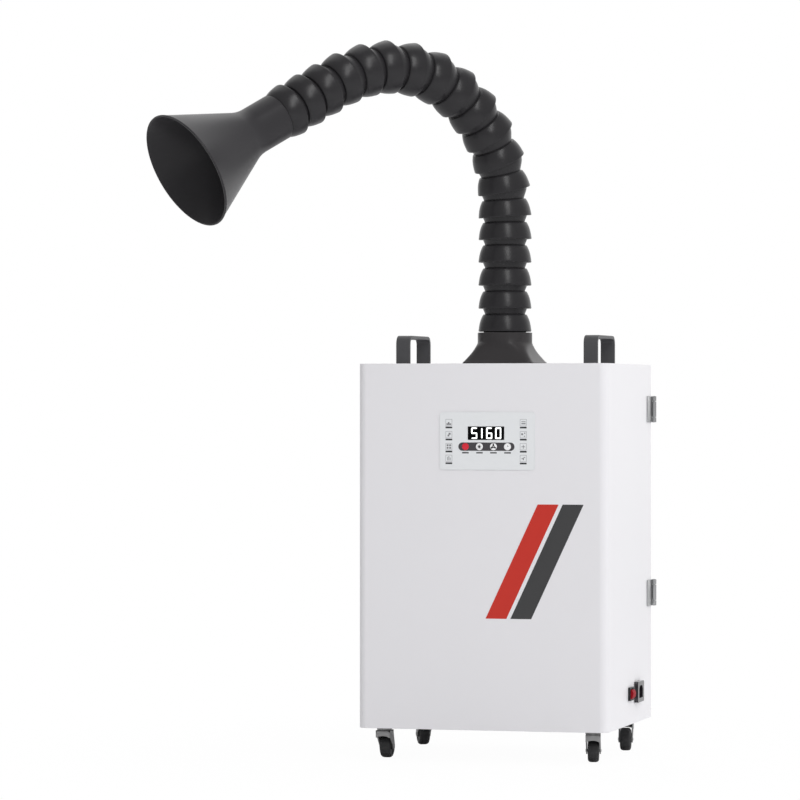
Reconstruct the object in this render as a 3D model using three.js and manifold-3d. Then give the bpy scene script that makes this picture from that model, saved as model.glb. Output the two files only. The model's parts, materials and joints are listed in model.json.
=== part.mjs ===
// A mobile fume extractor: a sheet-steel cabinet with filters and a blower, on four swivel
// casters, with an articulated ball-and-socket arm and a funnel hood on its top.
// Millimetres, +Z up, front towards -Y. The origin is the centre of the cabinet's underside.

import * as THREE from 'three';
import { mergeVertices } from 'three/addons/utils/BufferGeometryUtils.js';
import Module from 'manifold-3d';

const wasm = await Module();
wasm.setup();

const degree = Math.PI / 180;
const gap = 0.3;                    // between pieces that seat on each other
const overrun = 2;                  // how far a cutting solid passes the face that it cuts
const weld = 1e-4;                  // vertices nearer than this are one

// Cabinet, folded from one sheet
const cabinetWidth = 350;
const cabinetDepth = 296;
const cabinetHeight = 500;
const sheet = 1.5;
const frontCornerRadius = 12;
const cornerSteps = 4;

// Rear of the cabinet: a return flange, in front of a door and a fixed panel set in flush
const flangeWidth = 14;
const gasketThickness = 4;
const gasketWidth = 8;
const gasketInset = 3.5;
const topRail = 5.7;                // depth of the fold above the door
const doorBottom = 119.5;
const doorFold = 3;
const doorFoldStop = 9;             // the folds end this far before the hinged edge
const panelGap = 1;                 // between the door and the fixed panel

// Louvres of the fixed panel
const louvreLength = 92;
const louvreHeight = 5.5;
const louvrePitch = 13;
const louvreRows = 5;
const louvreColumnOffset = 76;
const louvreFieldCentre = 62;
const louvreProud = 4;
const louvreSkin = 1.2;

// Base pan
const panLip = 12;

// Arm: a square foot that runs into a round collar, then equal ball-and-socket links
const armX = 0;
const armY = -12;
const footHalf = 50;
const footWall = 3;
const flareHeight = 31;
const collarRadius = 38;
const collarHeight = 43.7;
const baseSides = 20;
// share of the flare's height, share of its spread, exponent of the section (2 is round)
const flareShares = [
  [0, 1, 16], [0.08, 0.95, 16], [0.27, 0.56, 10], [0.5, 0.2, 3.2], [0.73, 0.05, 2.3], [1, 0, 2],
];
const duct = 25;                    // radius of the air way through the whole arm
const ballRadius = 33.3;
const ballRim = 0.6;                // a ball is cut off this far above the middle of its socket
const socketClearance = 0.7;
const firstBallRadius = 32.4;       // a little smaller, because the first link turns right round on it
const firstBallShares = [1, 0.55];  // heights of its rings, from its neck up to its centre
const lipDrop = 8.5;                // from the socket's middle down to the lip of the skirt
const lipRadius = 36.9;
const lipBore = 33.3;
const baseLipGap = 1.4;             // between the collar and the first skirt
const linkPitch = 36.1;             // from the middle of a link's socket to the centre of its ball
const bellHeight = 23.8;
const bellTopRadius = 30.3;
const bellShares = [[0.525, 0.74], [0.8, 0.38]];  // height and spread of the bell's two shoulders
const grooveDepth = 0.3;
const grooveRadius = 27.9;
const ballMiddle = -9;              // height of the ball's middle ring, from its centre
const socketMiddle = 3.6;           // the socket narrows above here
const socketRoof = 9.8;
const socketRoofRadius = 31.9;
const roofRise = 3.4;
const linkSides = 14;
const linkCount = 19;
const armAzimuth = 227.5 * degree;  // the way the arm leans, from +X towards +Y
const bends = [0, 0, 0, 1.5, 3, 9, 13, 12.5, 11, 11.5, 14, 13, 12.5, 9.5, 6.5, 1.5, 0, 0];
const socketPlay = 5;               // how far a socket can slide up or down its ball
// how far each socket has slid down, pressed by the links above it, or up, where the arm bends
const seatShares = [
  0.8, 0.8, 0.8, 0.8, 0.8, 0.9, 0, -0.6, -0.6, -0.4, -0.7, -0.8, -0.7, -0.5, 0.1, -0.3, 0.2, 0.9, 0.9,
];

// Hood, turned on the spigot of the last link
const spigotRadius = 27.8;
const spigotLength = 24;
const spigotClearance = 0.8;
const hoodNeckRadius = 32.3;
const hoodNeckLength = 52;
const hoodLength = 161;
const hoodMouthRadius = 82;
const hoodWall = 2.4;
const hoodRim = 3.4;
const hoodRimHeight = 3;
const hoodSides = 32;

// Bail handles of bent flat bar
const handleInset = 41.7;           // from the cabinet's side
const handleY = -6;
const handleLength = 116;
const handleHeight = 39.3;
const handleWidth = 20;
const handleBar = 4.8;
const handleBend = 12;
const handleSteps = 5;

// Control panel on the front
const overlayX = 8.1;
const overlayDrop = 105.6;          // from the cabinet's top
const overlayWidth = 133;
const overlayHeight = 78.6;
const overlayThickness = 0.8;
const overlayCorner = 4;
const stripX = 7.1;
const stripDrop = 113.4;
const stripLength = 78.7;
const stripHeight = 11.3;
const stripProud = 0.3;
const keyCount = 4;
const keyPitch = 19.65;
const keyRadius = 4.8;
const keyClearance = 0.4;
const keyProud = 0.9;
const keyCap = 0.8;
const keyTravel = 0.6;
const keyStemRadius = 2.8;
const keySides = 12;
const smallSides = 8;
const displayX = 6.4;
const displayDrop = 95.1;
const displayWidth = 51.2;
const displayHeight = 18.5;
const displayProud = 0.2;
const displayFrame = 1.1;           // how far the window laps over its hole in the cabinet

// Control board behind the panel
const boardWidth = 104;
const boardHeight = 52;
const boardThickness = 1.6;
const boardSetback = 10;
const postRadius = 3;
const postInset = 5;
const tactSize = 6;
const tactHeight = 3.6;
const plungerRadius = 1.6;
const plungerHeight = 1;

// Rocker switch and mains inlet on the right side
const mainsZ = 43;
const rockerY = 0;
const bezelWidth = 24;
const bezelHeight = 18.4;
const bezelProud = 3;
const switchBodyWidth = 21;
const switchBodyHeight = 16.4;
const switchBodyDepth = 15;
const rockerWidth = 18;
const rockerPocketWidth = 19;
const rockerPocketHeight = 14.8;
const rockerTop = 8.4;              // from the pivot out to the middle of the rocker's face
const rockerCrown = 2.4;            // the face falls by this towards its two ends
const crownShare = 0.42;            // of its half length, where the face starts to fall
const rockerCheek = 1.2;            // the ends reach this far inside the pivot
const rockerHalf = 6.4;
const rockerFoot = 3;
const rockerFloorGap = 1.2;
const rockerPivotDepth = 1.5;       // the pivot lies this far inside the side's surface
const rockerPinRadius = 1.2;
const rockerPinClearance = 0.4;
const rockerTilt = 8 * degree;
const inletY = 50;
const inletCornerSteps = 3;
const inletWidth = 42;
const inletHeight = 29.3;
const inletProud = 5.4;
const inletCorner = 3;
const inletBodyWidth = 27;
const inletBodyHeight = 20;
const inletBodyDepth = 16;
const socketWidth = 24;
const socketHeight = 16.8;
const socketDepth = 16;
const socketChamfer = 4.5;
const bladeWidth = 2;
const bladeHeight = 4;
const bladeLength = 13;
const bladeSpread = 7;
const bladeDrop = 2;

// Hinges on the right rear edge
const hingeUpperDrop = 63;          // from the cabinet's top
const hingeLowerRise = 57.5;        // from the door's lower edge
const barrelRadius = 3.6;
const hingeHeight = 37;
const middleKnuckle = 22;
const knuckleGap = 0.6;
const pinRadius = 1.6;
const pinClearance = 0.4;
const leafThickness = 1.7;
const leafWidth = 29;
const hingeSides = 10;

// Quarter-turn lock near the door's free edge
const lockInset = 25;               // from the cabinet's inner side
const lockBezelRadius = 10;
const lockBezelThickness = 2;
const lockBarrelRadius = 7.5;
const rotorRadius = 5;
const rotorClearance = 0.45;
const rotorProud = 0.6;
const rotorSlotWidth = 2;
const rotorSlotDepth = 1.2;
const camLength = 17;
const camWidth = 8;
const camThickness = 2;
const camClearance = 1.6;           // between the cam and the flange that it turns behind
const lockSides = 12;

// Filters, stacked on the shelf, behind a baffle that shields the electrics
const baffleSetback = 30;
const filterSideRoom = 16.5;        // from the cabinet's inner side, for the rails
const filterRearRoom = 4.9;         // from the flange, for the cam
const filterClearance = 0.5;
const carbonHeight = 110;
const hepaHeight = 150;
const prefilterHeight = 22;
const frameWall = 8;
const coreInset = 4;
const hepaPleats = 9;
const prefilterPleats = 9;
const pleatSheet = 6;
const railRise = 6;

// Blower, hung under the shelf, its outlet towards the rear louvres
const blowerX = -12;
const scrollFrontRoom = 18;         // from the cabinet's front to the scroll
const voluteBottom = 40;
const voluteTop = 112;
const volutePlate = 2;
const voluteWall = 2.4;
const scrollStartRadius = 90;
const scrollEndRadius = 124;
const scrollStart = 40 * degree;
const scrollSteps = 14;
const inletRadius = 56;
const inletCollarWall = 2.5;
const impellerRadius = 78;
const impellerEye = 56;
const impellerBottom = 47;
const impellerHeight = 52;
const impellerPlate = 2;
const bladeCount = 10;
const bladeThickness = 2;
const bladeSweep = 22 * degree;
const bladeBendShare = 0.4;         // of the sweep, half way along the blade
const hubRadius = 14;
const hubHeight = 20;
const shaftRadius = 5;
const shaftClearance = 0.5;
const shaftHole = 9;
const motorRadius = 45;
const motorWaist = 41;
const motorBand = 8;
const motorFootRadius = 22;
const impellerSides = 20;
const motorSides = 16;

// Power supply
const supplySideRoom = 12;
const supplyFrontRoom = 12;
const supplyWidth = 72;
const supplyDepth = 88;
const supplyHeight = 36;
const supplyLedge = 14;
const supplyStep = 16;

// Casters
const casterSideInset = 28;
const casterEndInset = 38;
const casterPlateSize = 26;
const casterPlateThickness = 1.8;
const casterPlateCorner = 3;
const casterPlateSteps = 1;
const raceRadius = 10.5;
const raceHeight = 3;
const rivetRadius = 3;
const rivetHeadRadius = 5;
const rivetHead = 1.3;
const rivetClearance = 0.6;
const forkSheet = 1.6;
const forkWidth = 20;
const forkDepth = 22;
const forkTrail = 13;
const forkEyeRadius = 5;
const forkSteps = 4;
const axleRadius = 2;
const axleClearance = 0.5;
const wheelRadius = 16;
const wheelWidth = 15.4;
const wheelShoulder = 3;
const wheelSides = 14;
const rideHeight = 44;              // from the floor to the cabinet's underside

// Materials, with the colours that the object shows
const white = new THREE.MeshStandardMaterial({ color: 0xe4e4e6, roughness: 0.45, metalness: 0 });
const blackPlastic = new THREE.MeshStandardMaterial({ color: 0x2c2c2e, roughness: 0.5, metalness: 0 });
const handlePlastic = new THREE.MeshStandardMaterial({ color: 0x262628, roughness: 0.6, metalness: 0 });
const steel = new THREE.MeshStandardMaterial({ color: 0xb4b6b8, roughness: 0.35, metalness: 1 });
const zinc = new THREE.MeshStandardMaterial({ color: 0x9c9c9a, roughness: 0.4, metalness: 1 });
const tread = new THREE.MeshStandardMaterial({ color: 0x1c1c1c, roughness: 0.7, metalness: 0 });
const foil = new THREE.MeshStandardMaterial({ color: 0xdcdee0, roughness: 0.4, metalness: 0 });
const glass = new THREE.MeshStandardMaterial({ color: 0x0c0c0e, roughness: 0.1, metalness: 0 });
const redKey = new THREE.MeshStandardMaterial({ color: 0xb03028, roughness: 0.4, metalness: 0 });
const greyKey = new THREE.MeshStandardMaterial({ color: 0xd8d8d8, roughness: 0.4, metalness: 0 });
const redRocker = new THREE.MeshStandardMaterial({ color: 0x961e28, roughness: 0.35, metalness: 0 });
const foam = new THREE.MeshStandardMaterial({ color: 0x303030, roughness: 0.95, metalness: 0 });
const paper = new THREE.MeshStandardMaterial({ color: 0xecebe4, roughness: 0.9, metalness: 0 });
const carbon = new THREE.MeshStandardMaterial({ color: 0x303234, roughness: 0.9, metalness: 0 });
const board = new THREE.MeshStandardMaterial({ color: 0x1f5a34, roughness: 0.5, metalness: 0 });

// Turning geometry into solids and back

function welded(source) {
  const bare = source.clone();
  for (const name of Object.keys(bare.attributes)) {
    if (name !== 'position') bare.deleteAttribute(name);
  }
  const merged = mergeVertices(bare, weld);
  const index = merged.index.array;
  const kept = [];
  for (let i = 0; i < index.length; i += 3) {
    const [a, b, c] = [index[i], index[i + 1], index[i + 2]];
    if (a !== b && b !== c && c !== a) kept.push(a, b, c);
  }
  merged.setIndex(kept);
  if (signedVolume(merged) < 0) {
    const flipped = [];
    for (let i = 0; i < kept.length; i += 3) flipped.push(kept[i], kept[i + 2], kept[i + 1]);
    merged.setIndex(flipped);
  }
  return merged;
}

function signedVolume(geometry) {
  const at = geometry.attributes.position;
  const index = geometry.index.array;
  const [a, b, c] = [new THREE.Vector3(), new THREE.Vector3(), new THREE.Vector3()];
  let sum = 0;
  for (let i = 0; i < index.length; i += 3) {
    a.fromBufferAttribute(at, index[i]);
    b.fromBufferAttribute(at, index[i + 1]);
    c.fromBufferAttribute(at, index[i + 2]);
    sum += a.dot(b.cross(c));
  }
  return sum;
}

function solid(geometry) {
  const body = welded(geometry);
  return new wasm.Manifold(new wasm.Mesh({
    numProp: 3,
    vertProperties: new Float32Array(body.attributes.position.array),
    triVerts: new Uint32Array(body.index.array),
  }));
}

function geometryOf(body) {
  const mesh = body.getMesh();
  const geometry = new THREE.BufferGeometry();
  geometry.setAttribute('position', new THREE.BufferAttribute(new Float32Array(mesh.vertProperties), 3));
  geometry.setIndex(new THREE.BufferAttribute(new Uint32Array(mesh.triVerts), 1));
  return geometry;
}

const join = (first, ...others) => others.reduce((sum, other) => sum.add(other), first);
const cut = (first, ...others) => others.reduce((rest, other) => rest.subtract(other), first);

// Basic solids, placed where they lie

function block(x0, x1, y0, y1, z0, z1) {
  const geometry = new THREE.BoxGeometry(x1 - x0, y1 - y0, z1 - z0);
  geometry.translate((x0 + x1) / 2, (y0 + y1) / 2, (z0 + z1) / 2);
  return solid(geometry);
}

function rod(from, to, radius, sides) {
  const start = new THREE.Vector3(...from);
  const line = new THREE.Vector3(...to).sub(start);
  const geometry = new THREE.CylinderGeometry(radius, radius, line.length(), sides);
  geometry.applyQuaternion(
    new THREE.Quaternion().setFromUnitVectors(new THREE.Vector3(0, 1, 0), line.clone().normalize()),
  );
  geometry.translate(...start.addScaledVector(line, 1 / 2).toArray());
  return solid(geometry);
}

const upright = (x, y, radius, z0, z1, sides) => rod([x, y, z0], [x, y, z1], radius, sides);

// A closed profile of [radius, height] points, turned about the Z axis
function turned(profile, sides) {
  const points = [...profile, profile[0]].map(([r, z]) => new THREE.Vector2(r, z));
  const geometry = new THREE.LatheGeometry(points, sides);
  geometry.rotateX(Math.PI / 2);
  return geometry;
}

function outline(points) {
  return new THREE.Shape(points.map(([u, v]) => new THREE.Vector2(u, v)));
}

// An outline in X and Y, raised along Z
function raised(points, z0, z1) {
  const geometry = new THREE.ExtrudeGeometry(outline(points), { depth: z1 - z0, bevelEnabled: false });
  geometry.translate(0, 0, z0);
  return solid(geometry);
}

// An outline in X and Z, carried along Y
function carriedY(points, y0, y1) {
  const geometry = new THREE.ExtrudeGeometry(outline(points), { depth: y1 - y0, bevelEnabled: false });
  geometry.rotateX(Math.PI / 2);
  geometry.translate(0, y1, 0);
  return solid(geometry);
}

// An outline in Y and Z, carried along X
function carriedX(points, x0, x1) {
  const geometry = new THREE.ExtrudeGeometry(outline(points), { depth: x1 - x0, bevelEnabled: false });
  geometry.applyMatrix4(new THREE.Matrix4().makeBasis(
    new THREE.Vector3(0, 1, 0), new THREE.Vector3(0, 0, 1), new THREE.Vector3(1, 0, 0),
  ));
  geometry.translate(x0, 0, 0);
  return solid(geometry);
}

function arc(cu, cv, radius, from, to, steps) {
  const points = [];
  for (let i = 0; i <= steps; i += 1) {
    const angle = from + ((to - from) * i) / steps;
    points.push([cu + radius * Math.cos(angle), cv + radius * Math.sin(angle)]);
  }
  return points;
}

// A rectangle with its corners rounded; low and high are the radii at the low and high v side
function roundedBox(u0, u1, v0, v1, low, high, steps) {
  const corner = (cu, cv, radius, start) => (
    radius > 0 ? arc(cu, cv, radius, start, start + Math.PI / 2, steps) : [[cu, cv]]
  );
  return [
    ...corner(u0 + low, v0 + low, low, Math.PI),
    ...corner(u1 - low, v0 + low, low, Math.PI * 3 / 2),
    ...corner(u1 - high, v1 - high, high, 0),
    ...corner(u0 + high, v1 - high, high, Math.PI / 2),
  ];
}

const purifier = new THREE.Group();

function place(name, shape, material, parent = purifier) {
  const geometry = shape.isBufferGeometry ? welded(shape) : geometryOf(shape);
  geometry.computeVertexNormals();
  const mesh = new THREE.Mesh(geometry, material);
  mesh.name = name;
  parent.add(mesh);
  return mesh;
}

// Planes that several pieces share
const halfWidth = cabinetWidth / 2;
const halfDepth = cabinetDepth / 2;
const wallX = halfWidth - sheet;                       // inner face of a side
const frontInner = -halfDepth + sheet;
const doorInner = halfDepth - sheet;
const flangeRear = doorInner - gap - gasketThickness - gap;
const flangeFront = flangeRear - sheet;
const flangeEdge = wallX - flangeWidth;
const doorTop = cabinetHeight - topRail - gap;
const shelfTop = doorBottom + sheet;
const baffleY = -halfDepth + baffleSetback;
const panelFace = -halfDepth - gap - overlayThickness; // outer face of the control panel
const overlayZ = cabinetHeight - overlayDrop;
const stripZ = cabinetHeight - stripDrop;
const displayZ = cabinetHeight - displayDrop;
const lockX = -wallX + lockInset;
const filterX = wallX - filterSideRoom;
const filterRearY = flangeFront - filterRearRoom;
const keyX = (k) => stripX + (k - (keyCount - 1) / 2) * keyPitch;

// Cabinet shell: front, sides and top in one sheet, open below and behind
const planOf = (inset, rearY) => roundedBox(
  -halfWidth + inset, halfWidth - inset, -halfDepth + inset, rearY, frontCornerRadius - inset, 0, cornerSteps,
);
const displayHole = displayFrame + gap;
const shell = cut(
  raised(planOf(0, halfDepth), 0, cabinetHeight),
  raised(planOf(sheet, flangeFront), -overrun, cabinetHeight - sheet),
  block(-wallX, wallX, flangeRear, halfDepth + overrun, -overrun, doorTop + gap),
  block(
    -flangeEdge, flangeEdge, flangeFront - overrun, flangeRear + overrun, -overrun, doorTop - flangeWidth,
  ),
  upright(armX, armY, duct, cabinetHeight - sheet - overrun, cabinetHeight + overrun, baseSides),
  block(
    displayX - displayWidth / 2 + displayHole, displayX + displayWidth / 2 - displayHole,
    -halfDepth - overrun, frontInner + overrun,
    displayZ - displayHeight / 2 + displayHole, displayZ + displayHeight / 2 - displayHole,
  ),
  ...[...Array(keyCount).keys()].map((k) => rod(
    [keyX(k), -halfDepth - overrun, stripZ], [keyX(k), frontInner + overrun, stripZ],
    keyStemRadius + keyClearance, smallSides,
  )),
  block(
    wallX - overrun, halfWidth + overrun,
    rockerY - switchBodyWidth / 2 - gap, rockerY + switchBodyWidth / 2 + gap,
    mainsZ - switchBodyHeight / 2 - gap, mainsZ + switchBodyHeight / 2 + gap,
  ),
  block(
    wallX - overrun, halfWidth + overrun,
    inletY - inletBodyWidth / 2 - gap, inletY + inletBodyWidth / 2 + gap,
    mainsZ - inletBodyHeight / 2 - gap, mainsZ + inletBodyHeight / 2 + gap,
  ),
);
place('cabinet_shell', shell, white);

// Base pan: a tray between the walls, with a tongue that carries the fixed rear panel; the
// casters' top plates, welded under it, are added with the casters
const panX = wallX - gap;
const panFront = frontInner + gap;
const panRear = flangeFront - gap;
const tongueX = flangeEdge - gap;
const tongueRear = doorInner - gap;
const panPlan = (inset) => roundedBox(
  -panX + inset, panX - inset, panFront + inset, panRear - inset,
  frontCornerRadius - sheet - gap - inset, 0, cornerSteps,
);
const trayWithTongue = join(
  cut(
    raised(panPlan(0), 0, panLip),
    raised(panPlan(sheet), sheet, panLip + overrun),
    block(-tongueX, tongueX, panRear - sheet - overrun, panRear + overrun, sheet, panLip + overrun),
  ),
  block(-tongueX, tongueX, panRear - sheet - overrun, tongueRear, 0, sheet),
  block(-tongueX, tongueX, tongueRear - sheet, tongueRear, 0, panLip),
);

// Fixed rear panel with two columns of pressed louvres
const panelX = wallX - gap;
const ventTop = doorBottom - panelGap;
const louvreSlots = [];
const louvreHoods = [];
for (let row = 0; row < louvreRows; row += 1) {
  const z = louvreFieldCentre + (row - (louvreRows - 1) / 2) * louvrePitch;
  for (const side of [-1, 1]) {
    const x = side * louvreColumnOffset;
    louvreSlots.push(block(
      x - louvreLength / 2, x + louvreLength / 2, doorInner - overrun, halfDepth + overrun,
      z, z + louvreHeight,
    ));
    louvreHoods.push(carriedX([
      [doorInner + sheet / 2, z + louvreHeight + louvreSkin],
      [doorInner + sheet / 2, z + louvreHeight],
      [halfDepth, z + louvreHeight],
      [halfDepth + louvreProud - louvreSkin, z],
      [halfDepth + louvreProud, z],
      [halfDepth, z + louvreHeight + louvreSkin],
    ], x - louvreLength / 2, x + louvreLength / 2));
  }
}
const ventPanel = join(
  cut(block(-panelX, panelX, doorInner, halfDepth, gap, ventTop), ...louvreSlots),
  ...louvreHoods,
);
place('rear_vent_panel', ventPanel, white);

// Handles: flat bar bent to a bail, standing on the top
function handleBail() {
  const half = handleLength / 2;
  const base = cabinetHeight + gap;
  const top = base + handleHeight;
  const inner = handleBend - handleBar;
  return [
    [-half, base],
    ...arc(-half + handleBend, top - handleBend, handleBend, Math.PI, Math.PI / 2, handleSteps),
    ...arc(half - handleBend, top - handleBend, handleBend, Math.PI / 2, 0, handleSteps),
    [half, base],
    [half - handleBar, base],
    ...arc(half - handleBend, top - handleBend, inner, 0, Math.PI / 2, handleSteps),
    ...arc(-half + handleBend, top - handleBend, inner, Math.PI / 2, Math.PI, handleSteps),
    [-half + handleBar, base],
  ];
}
const handleX = halfWidth - handleInset;
for (const [name, x] of [['handle_left', -handleX], ['handle_right', handleX]]) {
  const bail = carriedX(handleBail(), x - handleWidth / 2, x + handleWidth / 2);
  place(name, bail.translate([0, handleY, 0]), handlePlastic);
}

// Hinges: the cabinet leaf has the two outer knuckles and the pin, the door leaf the middle one
const hingeX = halfWidth + gap + barrelRadius;
const hingeY = halfDepth + gap + leafThickness / 2;
const sideLeafX = halfWidth + gap;
const leafClear = barrelRadius + gap;
const hingeRod = (radius, z0, z1) => upright(hingeX, hingeY, radius, z0, z1, hingeSides);

function cabinetLeaf(z) {
  const low = z - hingeHeight / 2;
  const high = z + hingeHeight / 2;
  const lowMiddle = z - middleKnuckle / 2;
  const highMiddle = z + middleKnuckle / 2;
  const leaf = cut(
    block(sideLeafX, sideLeafX + leafThickness, hingeY - leafWidth - barrelRadius, hingeY, low, high),
    hingeRod(leafClear, lowMiddle - knuckleGap, highMiddle + knuckleGap),
    block(
      sideLeafX - overrun, sideLeafX + leafThickness + overrun, hingeY - barrelRadius, hingeY + overrun,
      lowMiddle - knuckleGap, highMiddle + knuckleGap,
    ),
  );
  return join(
    leaf,
    hingeRod(barrelRadius, low, lowMiddle - knuckleGap),
    hingeRod(barrelRadius, highMiddle + knuckleGap, high),
    hingeRod(pinRadius, low, high),
  );
}

function doorLeaf(z) {
  const lowMiddle = z - middleKnuckle / 2;
  const highMiddle = z + middleKnuckle / 2;
  const leafY = halfDepth + gap;
  const leaf = join(
    block(
      hingeX - leafClear - leafWidth, hingeX - leafClear, leafY, leafY + leafThickness,
      z - hingeHeight / 2, z + hingeHeight / 2,
    ),
    block(hingeX - leafClear - overrun, hingeX, leafY, leafY + leafThickness, lowMiddle, highMiddle),
    hingeRod(barrelRadius, lowMiddle, highMiddle),
  );
  return cut(leaf, hingeRod(pinRadius + pinClearance, lowMiddle - overrun, highMiddle + overrun));
}

const hingeHeights = [['upper', cabinetHeight - hingeUpperDrop], ['lower', doorBottom + hingeLowerRise]];
for (const [name, z] of hingeHeights) {
  place(`hinge_${name}_cabinet_leaf`, cabinetLeaf(z), steel);
  place(`hinge_${name}_door_leaf`, doorLeaf(z), steel);
}

// Rear door: a flat sheet with folds along its top, bottom and free edge
const lockZ = (doorBottom + doorTop) / 2;
const foldX = wallX - doorFoldStop;
const lockBarrelHole = lockBarrelRadius + gap;
const rearDoor = cut(
  join(
    block(-panelX, panelX, doorInner, halfDepth, doorBottom, doorTop),
    block(-panelX, -panelX + sheet, doorInner - doorFold, doorInner + sheet / 2, doorBottom, doorTop),
    block(-panelX, foldX, doorInner - doorFold, doorInner + sheet / 2, doorBottom, doorBottom + sheet),
    block(-panelX, foldX, doorInner - doorFold, doorInner + sheet / 2, doorTop - sheet, doorTop),
  ),
  rod([lockX, doorInner - overrun, lockZ], [lockX, halfDepth + overrun, lockZ], lockBarrelHole, lockSides),
);
place('rear_door', rearDoor, white);

// Gasket: a foam strip round the door's inner face, opposite the flange and the shelf's lip
const gasketX = wallX - gasketInset;
const gasketLow = doorBottom + gasketInset;
const gasketHigh = doorTop - gasketInset;
const gasketFront = doorInner - gap - gasketThickness;
const gasketStrip = cut(
  block(-gasketX, gasketX, gasketFront, doorInner - gap, gasketLow, gasketHigh),
  block(
    -gasketX + gasketWidth, gasketX - gasketWidth, gasketFront - overrun, doorInner + overrun,
    gasketLow + gasketWidth, gasketHigh - gasketWidth,
  ),
);
place('door_gasket', gasketStrip, foam);

// Lock: a bezel with its barrel through the door, and a rotor that carries the cam
const lockRod = (radius, y0, y1) => rod([lockX, y0, lockZ], [lockX, y1, lockZ], radius, lockSides);
const camRear = flangeFront - camClearance;
const camFront = camRear - camThickness;
const barrelEnd = camRear + gap;
const bezelFace = halfDepth + gap + lockBezelThickness;
place('lock_body', cut(
  join(
    lockRod(lockBezelRadius, halfDepth + gap, bezelFace),
    lockRod(lockBarrelRadius, barrelEnd, halfDepth + gap + lockBezelThickness / 2),
  ),
  lockRod(rotorRadius + rotorClearance, barrelEnd - overrun, bezelFace + overrun),
), zinc);
place('lock_rotor', cut(
  join(
    lockRod(rotorRadius, camFront, bezelFace + rotorProud),
    block(
      lockX - camWidth / 2, lockX + camWidth / 2, camFront, camRear, lockZ - camWidth / 2, lockZ + camLength,
    ),
  ),
  block(
    lockX - rotorSlotWidth / 2, lockX + rotorSlotWidth / 2,
    bezelFace + rotorProud - rotorSlotDepth, bezelFace + rotorProud + overrun,
    lockZ - rotorRadius - overrun, lockZ + rotorRadius + overrun,
  ),
), zinc);

// Filter shelf: one folded sheet with the baffle in front, a lip behind and rails at the sides
const scrollTurn = 2 * Math.PI - scrollStart;
const scrollRadius = (angle) => (
  scrollStartRadius + ((scrollEndRadius - scrollStartRadius) * (angle - scrollStart)) / scrollTurn
);
const blowerY = frontInner + scrollFrontRoom + scrollRadius(Math.PI * 3 / 2);
const shelfHole = upright(
  blowerX, blowerY, inletRadius, doorBottom - overrun, shelfTop + overrun, impellerSides,
);
const railInner = filterX + filterClearance;
const stackBottom = shelfTop + gap;
const carbonTop = stackBottom + carbonHeight;
const hepaTop = carbonTop + gap + hepaHeight;
const stackTop = hepaTop + gap + prefilterHeight;
const railTop = stackTop + railRise;
const rails = [-1, 1].flatMap((side) => {
  const inner = side * railInner;
  const outer = side * (railInner + sheet);
  const wall = side * panX;
  return [
    block(Math.min(inner, outer), Math.max(inner, outer), baffleY, filterRearY, doorBottom, railTop),
    block(Math.min(inner, wall), Math.max(inner, wall), baffleY, filterRearY, railTop - sheet, railTop),
  ];
});
const filterShelf = cut(
  join(
    block(-panX, panX, baffleY, panRear, doorBottom, shelfTop),
    block(-tongueX, tongueX, panRear - overrun, flangeRear, doorBottom, shelfTop),
    block(-tongueX, tongueX, flangeRear - sheet, flangeRear, doorBottom, shelfTop + flangeWidth),
    block(-panX, panX, baffleY, baffleY + sheet, doorBottom, cabinetHeight - sheet - gap),
    ...rails,
  ),
  shelfHole,
);
place('filter_shelf', filterShelf, steel);

// Filters: a frame round a core, which is a folded sheet, or a bed of granules in the carbon one
const filterFront = baffleY + sheet + gap;

function filterFrame(z0, z1) {
  return cut(
    block(-filterX, filterX, filterFront, filterRearY, z0, z1),
    block(
      -filterX + frameWall, filterX - frameWall, filterFront + frameWall, filterRearY - frameWall,
      z0 - overrun, z1 + overrun,
    ),
  );
}

function pleatPack(z0, z1, pleats) {
  const front = filterFront + frameWall / 2;
  const rear = filterRearY - frameWall / 2;
  const step = (rear - front) / (2 * pleats);
  const low = z0 + coreInset;
  const high = z1 - coreInset - pleatSheet;
  const upper = [];
  const lower = [];
  for (let i = 0; i <= 2 * pleats; i += 1) {
    const y = front + i * step;
    const z = i % 2 === 0 ? low : high;
    lower.push([y, z]);
    upper.unshift([y, z + pleatSheet]);
  }
  return carriedX([...lower, ...upper], -filterX + frameWall / 2, filterX - frameWall / 2);
}

const carbonBed = (z0, z1) => block(
  -filterX + frameWall / 2, filterX - frameWall / 2,
  filterFront + frameWall / 2, filterRearY - frameWall / 2,
  z0 + coreInset, z1 - coreInset,
);

place('carbon_filter', join(
  filterFrame(stackBottom, carbonTop), carbonBed(stackBottom, carbonTop),
), carbon);
place('hepa_filter', join(
  filterFrame(carbonTop + gap, hepaTop), pleatPack(carbonTop + gap, hepaTop, hepaPleats),
), paper);
place('prefilter', join(
  filterFrame(hepaTop + gap, stackTop), pleatPack(hepaTop + gap, stackTop, prefilterPleats),
), paper);

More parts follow.
